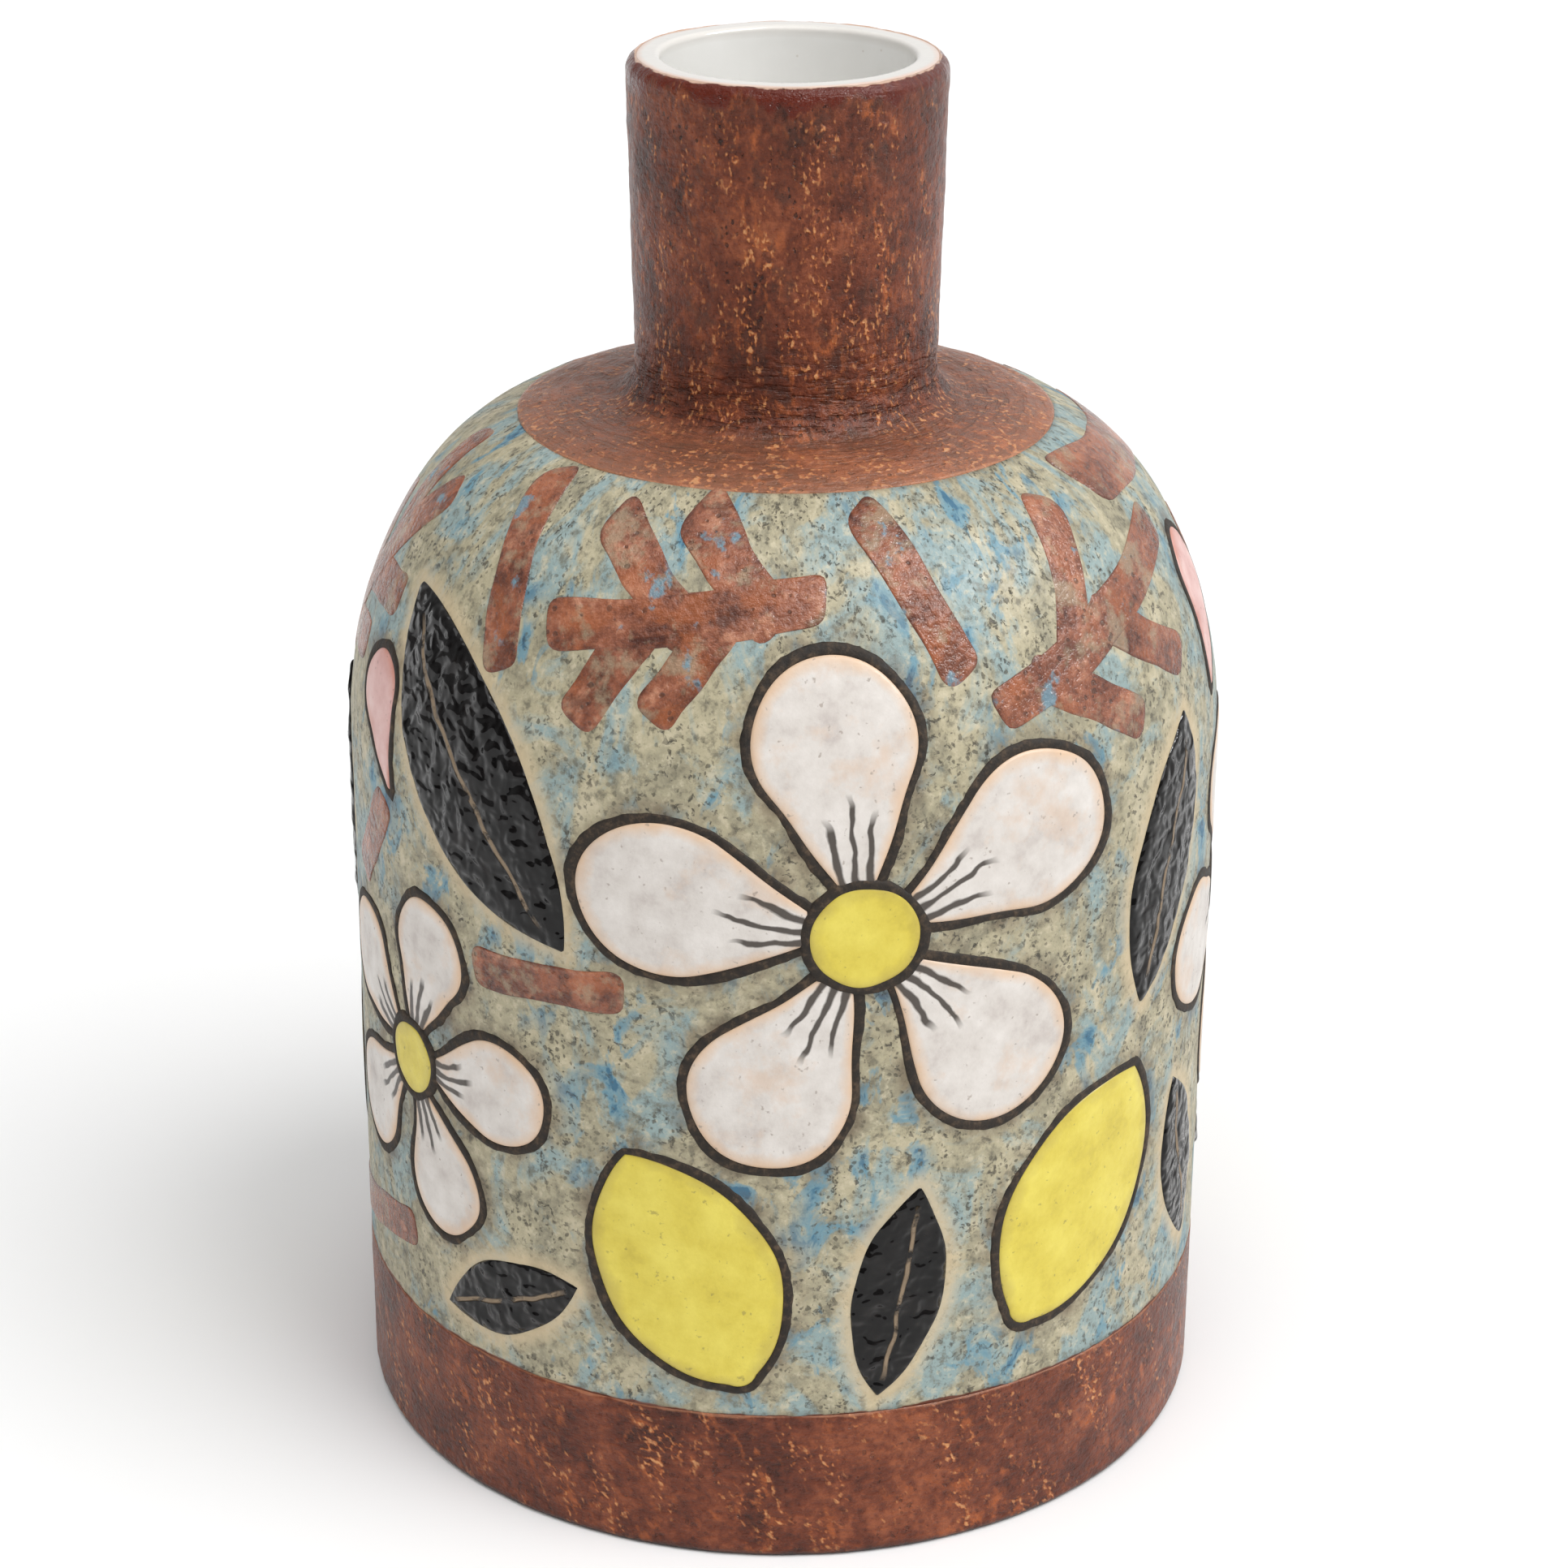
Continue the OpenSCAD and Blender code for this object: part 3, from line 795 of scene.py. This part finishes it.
# %% Petals, their lines and their middles
PETALS = 5
PETAL_FULLNESS = 0.65
PETAL_START = 0.1
CENTRE_SHARE = 0.22
PETAL_BODY = ((0.3, (194, 184, 178)), (0.46, (214, 207, 200)), (0.66, (228, 222, 216)))
PETAL_WARM = (222, 186, 150)
PETAL_STAIN = (216, 188, 164)
PETAL_SPECK = (150, 134, 122)
PETAL_STROKE = (58, 48, 40)
LEMON_BODY = ((0.3, (200, 180, 64)), (0.45, (218, 199, 74)), (0.66, (230, 214, 92)))
LEMON_OCHRE = (178, 158, 74)
LEMON_SPECK = (150, 134, 66)


def petal_finish():
    f = Finish("petal_white_satin")
    here = f.place()
    tone = f.noise(here, 110, 8.0, 0.66)
    f.body(tone, *PETAL_BODY)
    rim = f.stored("rim")
    warm = f.band(f.math("ADD", rim, f.times(f.noise(here, 150, 4.0), 4 * MM)), 5.0 * MM, 2.0 * MM)
    f.lay(PETAL_WARM, warm, 0.85)
    stain = f.band(f.noise(here, 70, 5.0, 0.66), 0.54, 0.68)
    f.lay(PETAL_STAIN, stain, 0.55)
    speck = f.band(f.noise(here, 640, 2.0), 0.68, 0.74)
    f.lay(PETAL_SPECK, speck, 0.6)
    x, y, length = f.parts(f.stored("own", vector=True))
    sway = f.band(f.noise(here, 90, 2.0), 0.3, 0.7, 0.25, -0.25)
    fan = f.times(f.math("DIVIDE", x, f.math("ADD", y, f.times(length, PETAL_START))), 5.0)
    fan = f.math("ADD", fan, sway)
    nearest = f.math("ROUND", fan)
    off = f.times(f.math("ABSOLUTE", f.math("SUBTRACT", fan, nearest)), f.times(y, 0.2))
    stroke = f.band(f.math("ADD", off, f.times(f.noise(here, 260, 3.0), 0.5 * MM)), 0.85 * MM, 0.6 * MM)
    side = f.math("ABSOLUTE", nearest)
    reach_out = f.math("DIVIDE", y, length)
    reach_out = f.math("ADD", reach_out, f.times(side, 0.08))
    stroke = f.times(stroke, f.band(reach_out, 0.5, 0.44), f.band(side, 1.5, 1.4))
    f.lay(PETAL_STROKE, stroke, 0.95)
    height = f.mixed((tone, 1.0), (stroke, -0.3))
    return f.finish(f.band(tone, 0.3, 0.7, 0.34, 0.46), height, 0.35 * MM)


def lemon_finish():
    f = Finish("lemon_yellow_satin")
    here = f.place()
    tone = f.noise(here, 90, 8.0, 0.66)
    f.body(tone, *LEMON_BODY)
    rim = f.stored("rim")
    shade = f.band(f.math("ADD", rim, f.times(f.noise(here, 120, 4.0), 7 * MM)), 6.4 * MM, 2.6 * MM)
    f.lay(LEMON_OCHRE, shade, 0.7)
    speck = f.band(f.noise(here, 620, 3.0), 0.66, 0.72)
    f.lay(LEMON_SPECK, speck, 0.6)
    height = f.mixed((tone, 1.0), (f.noise(here, 420, 3.0), 0.3))
    return f.finish(f.band(tone, 0.3, 0.7, 0.32, 0.46), height, 0.35 * MM)


petals = bmesh.new()
petal_lines = bmesh.new()
centres = bmesh.new()
for number, motif in enumerate(BLOSSOMS):
    length = length_of(motif)
    for petal in range(PETALS):
        seed = 7 * number + petal
        shape = hand_drawn(drop(length, PETAL_FULLNESS * length), 120, seed, 0.35 * MM)
        turn = petal * 360 / PETALS
        start = turned(np.array([[0, PETAL_START * length]]), turn)[0]
        cushion(petals, shape, motif, 0.42 * MM, edge=1.1 * MM, rows=11, turn=turn, start=start)
        line_edges.append(drawn_line(petal_lines, shape, motif, 0.34 * MM, seed, turn, start))
    disc = arc((0, 0), CENTRE_SHARE * length, 0, 357, MM)
    shape = hand_drawn(disc, 80, number, 0.25 * MM)
    cushion(centres, shape, motif, 0.72 * MM, edge=0.8 * MM, rows=14)
    drawn_line(petal_lines, shape, motif, 0.75 * MM, number + SEED["middle line"], tuck=0.8 * MM)
piece("petal_cushions", petals, petal_finish(), "petal_white", "white_petals")
piece("petal_outlines", petal_lines, iron_line, "line_dark", "petal_lines")
lemon_yellow = lemon_finish()
piece("blossom_middles", centres, lemon_yellow, "lemon_yellow", "blossom_centres")

# %% [markdown]
# ## Lemons
# Pointed ovals with a blunt tip, in a mottled yellow that goes ochre towards its edge. They share the
# finish of the blossoms' middles.

# %% Lemons and their lines
LEMON_FULLNESS = 0.66
LEMON_TIP = 0.07
lemons = bmesh.new()
lemon_lines = bmesh.new()
for number, motif in enumerate(LEMONS):
    length = length_of(motif)
    shape = lemon_shape(length, LEMON_FULLNESS * length, LEMON_TIP * length)
    shape = hand_drawn(shape, 160, number + SEED["lemon"], 0.4 * MM)
    cushion(lemons, shape, motif, 0.45 * MM, edge=1.4 * MM, rows=18)
    line_edges.append(drawn_line(lemon_lines, shape, motif, 0.36 * MM, number + SEED["lemon line"]))
piece("lemon_cushions", lemons, lemon_yellow, "lemon_yellow", "lemon_glaze")
piece("lemon_outlines", lemon_lines, iron_line, "line_dark", "lemon_lines")

# %% [markdown]
# ## Black leaves
# The thickest and glossiest glaze on the vase: it lies in lumps that catch grey lights. Bump alone
# would leave the outline and the shadows flat, so the broad lumps are real and only the small ones
# are bump. A thin midrib is scratched through the black.

# %% Leaves
LEAF_FULLNESS = 0.4
LEAF_BODY = ((0.35, (11, 10, 10)), (0.55, (17, 15, 15)), (0.75, (34, 30, 29)))
RIB_TAN = (150, 130, 106)


def leaf_lumps(p):
    return lumps(p, (0.4, 140), (0.2, 320)) * MM


def leaf_finish():
    f = Finish("leaf_black_gloss", Specular_IOR_Level=0.3)
    here = f.place()
    tone = f.noise(here, 160, 6.0, 0.6)
    f.body(tone, *LEAF_BODY)
    x, y, length = f.parts(f.stored("own", vector=True))
    off = f.math("ABSOLUTE", f.math("ADD", x, f.band(f.noise(here, 60, 2.0), 0.3, 0.7, MM, -MM)))
    rib = f.band(off, 0.7 * MM, 0.4 * MM)
    rib = f.times(rib, f.band(f.math("ABSOLUTE", f.math("DIVIDE", y, length)), 0.42, 0.36))
    rib = f.times(rib, f.band(f.noise(here, 260, 3.0), 0.36, 0.48))
    f.lay(RIB_TAN, rib, 0.85)
    small = f.noise(here, 270, 1.0, 0.45, 0.3)
    height = f.mixed((small, 1.0), (rib, -0.3))
    gloss = f.math("ADD", f.band(tone, 0.35, 0.7, 0.16, 0.08), f.times(rib, 0.4))
    return f.finish(gloss, height, 1.8 * MM)


leaves = bmesh.new()
for number, motif in enumerate(LEAVES):
    length = length_of(motif)
    shape = pointed_oval(length, LEAF_FULLNESS * length)
    shape = hand_drawn(shape, 170, number + SEED["leaf"], 0.4 * MM)
    cushion(leaves, shape, motif, 0.6 * MM, edge=2.2 * MM, rows=22, bulge=leaf_lumps)
    leaf_edges.append(on_wall(shape, motif, 0.0))
piece("leaf_cushions", leaves, leaf_finish(), "leaf_black", "leaf_glaze")

# %% [markdown]
# ## Pink buds
# Small closed drops on the shoulder, in a thin pink that shows the warm ground at its edge.

# %% Buds and their lines
BUD_FULLNESS = 0.55
BUD_BODY = ((0.3, (208, 156, 150)), (0.5, (224, 182, 176)), (0.7, (236, 208, 202)))
BUD_WARM = (198, 122, 96)
BUD_SPECK = (150, 104, 96)


def bud_finish():
    f = Finish("bud_pink_satin")
    here = f.place()
    tone = f.noise(here, 95, 6.0, 0.6)
    f.body(tone, *BUD_BODY)
    rim = f.stored("rim")
    warm = f.times(f.band(rim, 3.5 * MM, 0.2 * MM), f.band(f.noise(here, 140, 3.0), 0.38, 0.6))
    f.lay(BUD_WARM, warm, 0.6)
    speck = f.band(f.noise(here, 620, 2.0), 0.67, 0.73)
    f.lay(BUD_SPECK, speck, 0.6)
    return f.finish(f.band(tone, 0.3, 0.7, 0.34, 0.46), tone, 0.3 * MM)


buds = bmesh.new()
bud_lines = bmesh.new()
for number, motif in enumerate(BUDS):
    length = length_of(motif)
    shape = drop(length, BUD_FULLNESS * length) - np.array([0, length / 2])
    shape = hand_drawn(shape, 110, number + SEED["bud"], 0.3 * MM)
    cushion(buds, shape, motif, 0.42 * MM, edge=1.1 * MM, rows=12)
    line_edges.append(drawn_line(bud_lines, shape, motif, 0.34 * MM, number + SEED["bud line"]))
piece("bud_cushions", buds, bud_finish(), "bud_pink", "pink_buds")
piece("bud_outlines", bud_lines, iron_line, "line_dark", "bud_lines")

# %% [markdown]
# ## Rust twigs
# Single broad strokes of a rust wash, each a little lower than the one it starts from, so that none of
# them fights for the same height. The hairs of the brush leave streaks along a stroke, which is why
# every stroke keeps its own flat coordinates. A veil of slip and splashes of blue lie over some.

# %% Twigs
BRUSH_W = 9 * MM
SHOOTS = [(0.15, 1), (0.3, -1), (0.5, 1), (0.65, -1)]
SHOOT_SHARE = 0.4
SHOOT_LEAN = 48
TWIG_BODY = ((0.39, (80, 46, 37)), (0.46, (122, 73, 55)), (0.53, (150, 93, 70)), (0.62, (188, 132, 104)))
TWIG_PITCH = (80, 48, 39)
TWIG_RUSTY = (172, 98, 58)
TWIG_VEIL = (164, 148, 122)
TWIG_SPLASH = (108, 148, 164)
TWIG_SPECK = (58, 40, 33)
TWIG_EDGE = (84, 46, 38)


def twig_finish():
    f = Finish("rust_wash", Specular_IOR_Level=0.4)
    here = f.place()
    own = f.stored("own", vector=True)
    hairs = f.noise(f.stretch(own, (1, 0.12, 1)), 620, 4.0, 0.6)
    cloud = f.noise(here, 95, 7.0, 0.68, 0.4)
    grain = f.noise(here, 650, 3.0, 0.6)
    f.body(f.mixed((cloud, 0.6), (hairs, 0.18), (grain, 0.22)), *TWIG_BODY)
    pitch = f.band(f.noise(here, 130, 6.0, 0.68), 0.5, 0.62)
    f.lay(TWIG_PITCH, pitch, 0.65)
    rusty = f.band(f.noise(here, 75, 5.0, 0.66, 0.4), 0.51, 0.62)
    f.lay(TWIG_RUSTY, rusty, 0.5)
    veil = f.band(f.noise(here, 120, 7.0, 0.66), 0.52, 0.62)
    f.lay(TWIG_VEIL, veil, 0.6)
    splash = f.band(f.noise(f.stretch(here, (1, 1, 0.7)), 85, 5.0, 0.6), 0.62, 0.66)
    f.lay(TWIG_SPLASH, splash, 0.8)
    speck = f.dots(f.jitter(here, 500, 0.9 * MM), 560, 0.45, 0.12, 0.42)
    speck = f.times(speck, f.band(f.noise(here, 110, 3.0), 0.42, 0.56))
    f.lay(TWIG_SPECK, speck, 0.6)
    edge = f.times(f.band(f.stored("rim"), 1.0 * MM, 0.2 * MM), f.band(f.noise(here, 160, 3.0), 0.4, 0.6))
    f.lay(TWIG_EDGE, edge, 0.7)
    height = f.mixed((cloud, 0.6), (hairs, 0.3), (grain, 0.6), (speck, -0.2))
    return f.finish(f.band(grain, 0.35, 0.65, 0.3, 0.12), height, 1.0 * MM)


twigs = bmesh.new()
for number, motif in enumerate(TWIGS):
    length = length_of(motif)
    shape = hand_drawn(stroke_shape(length, BRUSH_W), 120, number + SEED["twig"], 0.4 * MM)
    cushion(twigs, shape, motif, 0.2 * MM, edge=0.8 * MM, rows=9, start=(0, -length / 2))
    for i, (share, side) in enumerate(SHOOTS[:motif[4]]):
        shape = stroke_shape(SHOOT_SHARE * length, BRUSH_W)
        shape = hand_drawn(shape, 80, number + i + SEED["shoot"], 0.35 * MM)
        cushion(twigs, shape, motif, (0.16 - 0.02 * i) * MM, edge=0.8 * MM, rows=9,
                turn=-side * SHOOT_LEAN, start=(0, (share - 0.5) * length))
piece("twig_strokes", twigs, twig_finish(), "rust_brush", "rust_twigs")

# %% [markdown]
# ## The ground
# Between foot band and collar lies a matt beige slip, full of dark pits, with smears of blue-grey and
# a few deep blue dabs. The lines have a sooty halo and the black leaves a clean, warm one. Both come
# from a stored distance: a search tree over the outlines answers it for every point of the coat.

# %% Ground slip
GROUND_STEP = 1.7 * MM
GROUND_STEPS = 384
FAR_AWAY = 20 * MM
SLIP_BODY = (
    (0.3, (132, 127, 108)), (0.43, (160, 153, 128)), (0.55, (180, 171, 142)), (0.7, (198, 188, 160)),
)
HAZE_BLUE = (140, 165, 168)
MOTTLE_DARK = (104, 100, 84)
MOTTLE_PALE = (208, 198, 170)
DAB_BLUE = (100, 146, 164)
DAB_DEEP = (44, 98, 128)
HALO_WARM = (208, 188, 152)
HALO_SOOT = (96, 78, 60)
FRECKLE = (78, 74, 60)
CLOT = (56, 53, 46)
SEAM_RUST = (116, 66, 48)
ground_path = path_of(
    straight((BODY_R, BAND_Z), (BODY_R, WALL_Z), GROUND_STEP),
    arc(sweep_c, sweep_arc_r, 0, sweep_end, GROUND_STEP),
    arc(crown_c, crown_arc_r, sweep_end, collar_angle, GROUND_STEP),
)


def ground_height(place, run):
    return lumps(place, (0.08, 110), (0.06, 300)) * MM


def store_distance(bm, name, edges):
    """Stores how far each point of a coat is from these edges."""
    points = np.vstack(edges)
    tree = KDTree(len(points))
    for k, point in enumerate(points):
        tree.insert(point, k)
    tree.balance()
    layer = bm.verts.layers.float.new(name)
    for v in bm.verts:
        v[layer] = min(tree.find(v.co)[2], FAR_AWAY)


def ground_finish():
    f = Finish("ground_slip_beige", Specular_IOR_Level=0.4)
    flow = f.stored("flow", vector=True)
    tall = f.stretch(flow, (1, 1, 0.7))
    tone = f.noise(flow, 95, 8.0, 0.66, 0.5)
    f.body(tone, *SLIP_BODY)
    haze = f.noise(tall, 60, 7.0, 0.62, 0.8)
    f.lay(HAZE_BLUE, f.band(haze, 0.49, 0.58, 0.85))
    mottle = f.noise(flow, 360, 5.0, 0.68)
    f.lay(MOTTLE_DARK, f.band(mottle, 0.52, 0.66, 0.75))
    f.lay(MOTTLE_PALE, f.band(mottle, 0.46, 0.34, 0.6))
    dab = f.noise(tall, 105, 5.0, 0.6, 0.6)
    area = f.band(f.noise(flow, 34, 2.0), 0.44, 0.56)
    f.lay(DAB_BLUE, f.times(f.band(dab, 0.54, 0.60, 0.85), area))
    f.lay(DAB_DEEP, f.times(f.band(dab, 0.62, 0.66, 0.85), area))
    clean = f.band(f.stored("to_leaf"), 4.5 * MM, 1.0 * MM)
    f.lay(HALO_WARM, clean, 0.75)
    soot = f.band(f.stored("to_line"), 4 * MM, 0.4 * MM)
    soot = f.times(soot, f.band(f.noise(flow, 140, 5.0), 0.36, 0.66))
    f.lay(HALO_SOOT, soot, 0.75)
    cover = f.math("SUBTRACT", 1.0, f.times(clean, 0.8))
    crowd = f.times(f.band(f.noise(flow, 80, 4.0, 0.6), 0.38, 0.58, 1.0, 0.25), cover)
    freckle = f.times(f.dots(f.jitter(flow, 700, 1.4 * MM), 760, 0.7, 0.15, 0.46), crowd)
    f.lay(FRECKLE, freckle, 0.75)
    clot = f.times(f.band(f.noise(flow, 520, 4.0, 0.65, 0.5), 0.58, 0.65), crowd)
    f.lay(CLOT, clot, 0.8)
    drift = f.band(f.noise(flow, 110, 3.0), 0.3, 0.7, 0.6 * MM, -0.6 * MM)
    low = f.math("ADD", f.stored("run"), drift)
    f.lay(SEAM_RUST, f.band(low, 0.5 * MM, 0.2 * MM))
    grain = f.noise(flow, 600, 3.0, 0.6)
    height = f.mixed((tone, 0.8), (grain, 0.35), (freckle, -0.2), (clot, -0.4))
    return f.finish(f.band(grain, 0.35, 0.65, 0.58, 0.4), height, 0.4 * MM)


ground_spun = coat(ground_path, COAT, GROUND_STEPS, BODY_R)
ground = roughen(ground_spun, ground_height)
store_distance(ground, "to_line", line_edges)
store_distance(ground, "to_leaf", leaf_edges)
piece("ground_skin", ground, ground_finish(), "ground_beige", "ground_slip")

# %% [markdown]
# ## Clay and joining slip
# The clay shows only under the foot, as a bare ring and a shallow recess. Its solids are exact as they
# are, so they stay, and only get a finish: sandy, with grog and a few iron spots.

# %% Clay
GROG = (226, 204, 178)
IRON_SPOT = (92, 62, 46)


def clay_finish(name, dark, light):
    f = Finish(name)
    here = f.place()
    tone = f.noise(here, 70, 7.0, 0.6)
    f.body(tone, (0.3, dark), (0.7, light))
    grog = f.band(f.noise(here, 700, 2.0), 0.62, 0.7)
    f.lay(GROG, grog, 0.6)
    spot = f.band(f.cells(here, 220), 0.09, 0.05)
    f.lay(IRON_SPOT, spot, 0.7)
    return f.finish(f.band(tone, 0.3, 0.7, 0.75, 0.9), f.noise(here, 500, 4.0), 0.3 * MM)


bare_clay = clay_finish("bare_clay", (186, 146, 116), (214, 178, 148))
joining_slip = clay_finish("joining_slip", (160, 118, 90), (186, 146, 116))
for finish, names in (
    (bare_clay, ("base_slab", "body_wall", "shoulder", "neck")),
    (joining_slip, ("base_luting", "shoulder_luting", "neck_luting")),
):
    for name in names:
        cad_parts[name].data.materials.clear()
        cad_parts[name].data.materials.append(finish)
    print(finish.name, "on", ", ".join(names))

# %% [markdown]
# ## Floor, light and camera
# A white table in a white room. Lamps close by would leave the table grey at its far side, so two far
# ones stand in for large soft boxes: the key on the right, which throws the shadow, and one overhead.
# A third, small one shows in reflections only, as glints on the glossiest glazes.
# The world is white for the camera. As a light it is dimmer, most of all on the left and low down, so
# that colours come out as they were written. Reflections see a bright room behind and on the right
# and a darker one in front and on the left, as in a studio, or the glazes would all look milky.

# %% Floor
TABLE_REACH = 20
floor_mesh = bpy.data.meshes.new("floor")
sheet = bmesh.new()
bmesh.ops.create_grid(sheet, x_segments=1, y_segments=1, size=TABLE_REACH)
sheet.to_mesh(floor_mesh)
sheet.free()
floor = bpy.data.objects.new("floor", floor_mesh)
bpy.context.collection.objects.link(floor)
table = Finish("white_table", Base_Color=(0.93, 0.93, 0.93, 1), Roughness=0.9, Specular_IOR_Level=0.0)
floor_mesh.materials.append(table.material)
print("floor reaches", TABLE_REACH, "m to each side")

# %% World and lamps
WHITE = (1, 1, 1, 1)
world = bpy.data.worlds.new("white_room")
bpy.context.scene.world = world
world.use_nodes = True
w = Recipe(world.node_tree)
room = w.tree.nodes["Background"]
room.inputs["Color"].default_value = WHITE
seen = w.add("ShaderNodeBackground", Color=WHITE)
x, y, z = w.parts(w.add("ShaderNodeTexCoord").outputs["Generated"])
from_right = w.band(x, -0.8, 0.8, 0.5, 0.3)
from_above = w.band(z, 0.0, 1.0, 1.35, 0.85)
w.feed(room.inputs["Strength"], w.times(from_right, from_above))
ray = w.add("ShaderNodeLightPath").outputs
mirrored = w.times(w.band(y, -0.5, -0.1, 0.8, 0.16), w.band(x, -0.9, 0.1, 1.0, 0.35))
w.feed(seen.inputs["Strength"], w.math("MAXIMUM", ray["Is Camera Ray"], mirrored))
by_glaze = w.math("MAXIMUM", ray["Is Glossy Ray"], ray["Is Transmission Ray"])
looked_at = w.math("MAXIMUM", ray["Is Camera Ray"], by_glaze)
choice = w.add("ShaderNodeMixShader", None, looked_at, room.outputs[0], seen.outputs[0])
w.feed(w.tree.nodes["World Output"].inputs["Surface"], choice.outputs[0])


def lamp(name, place, spread, power):
    """A far lamp that shines from this place to the vase. spread is its width in degrees."""
    light = bpy.data.lights.new(name, "SUN")
    light.angle = math.radians(spread)
    light.energy = power
    made = bpy.data.objects.new(name, light)
    made.location = place
    made.rotation_euler = (-Vector(place)).to_track_quat("-Z", "Y").to_euler()
    bpy.context.collection.objects.link(made)
    print(name, "at", place, "with a strength of", power)
    return made


lamp("key_lamp", place=(0.85, -0.5, 1.35), spread=40, power=1.6)
lamp("top_lamp", place=(-0.1, -0.6, 1.5), spread=50, power=1.0)
glints = lamp("glint_lamp", place=(1.2, -0.2, 1.1), spread=10, power=2.0)
glints.visible_diffuse = False

# %% Camera
CAMERA_PLACE = (0.0001, -0.774, 0.4696)
CAMERA_PITCH = 0.4047
CAMERA_ROLL = 0.0058
CAMERA_LENS = 87.76
camera = bpy.data.objects.new("camera", bpy.data.cameras.new("camera"))
bpy.context.collection.objects.link(camera)
camera.data.sensor_width = 36
camera.data.lens = CAMERA_LENS
camera.data.clip_start = 0.01
tilt_down = Matrix.Rotation(math.pi / 2 - CAMERA_PITCH, 4, "X")
roll = Matrix.Rotation(CAMERA_ROLL, 4, "Z")
camera.matrix_world = Matrix.Translation(CAMERA_PLACE) @ tilt_down @ roll
bpy.context.scene.camera = camera
bpy.context.scene.view_settings.view_transform = "Standard"
print("camera at", CAMERA_PLACE, "with a lens of", CAMERA_LENS, "mm")

# %% [markdown]
# ## Size
# The dressed vase has to keep the size of its clay.
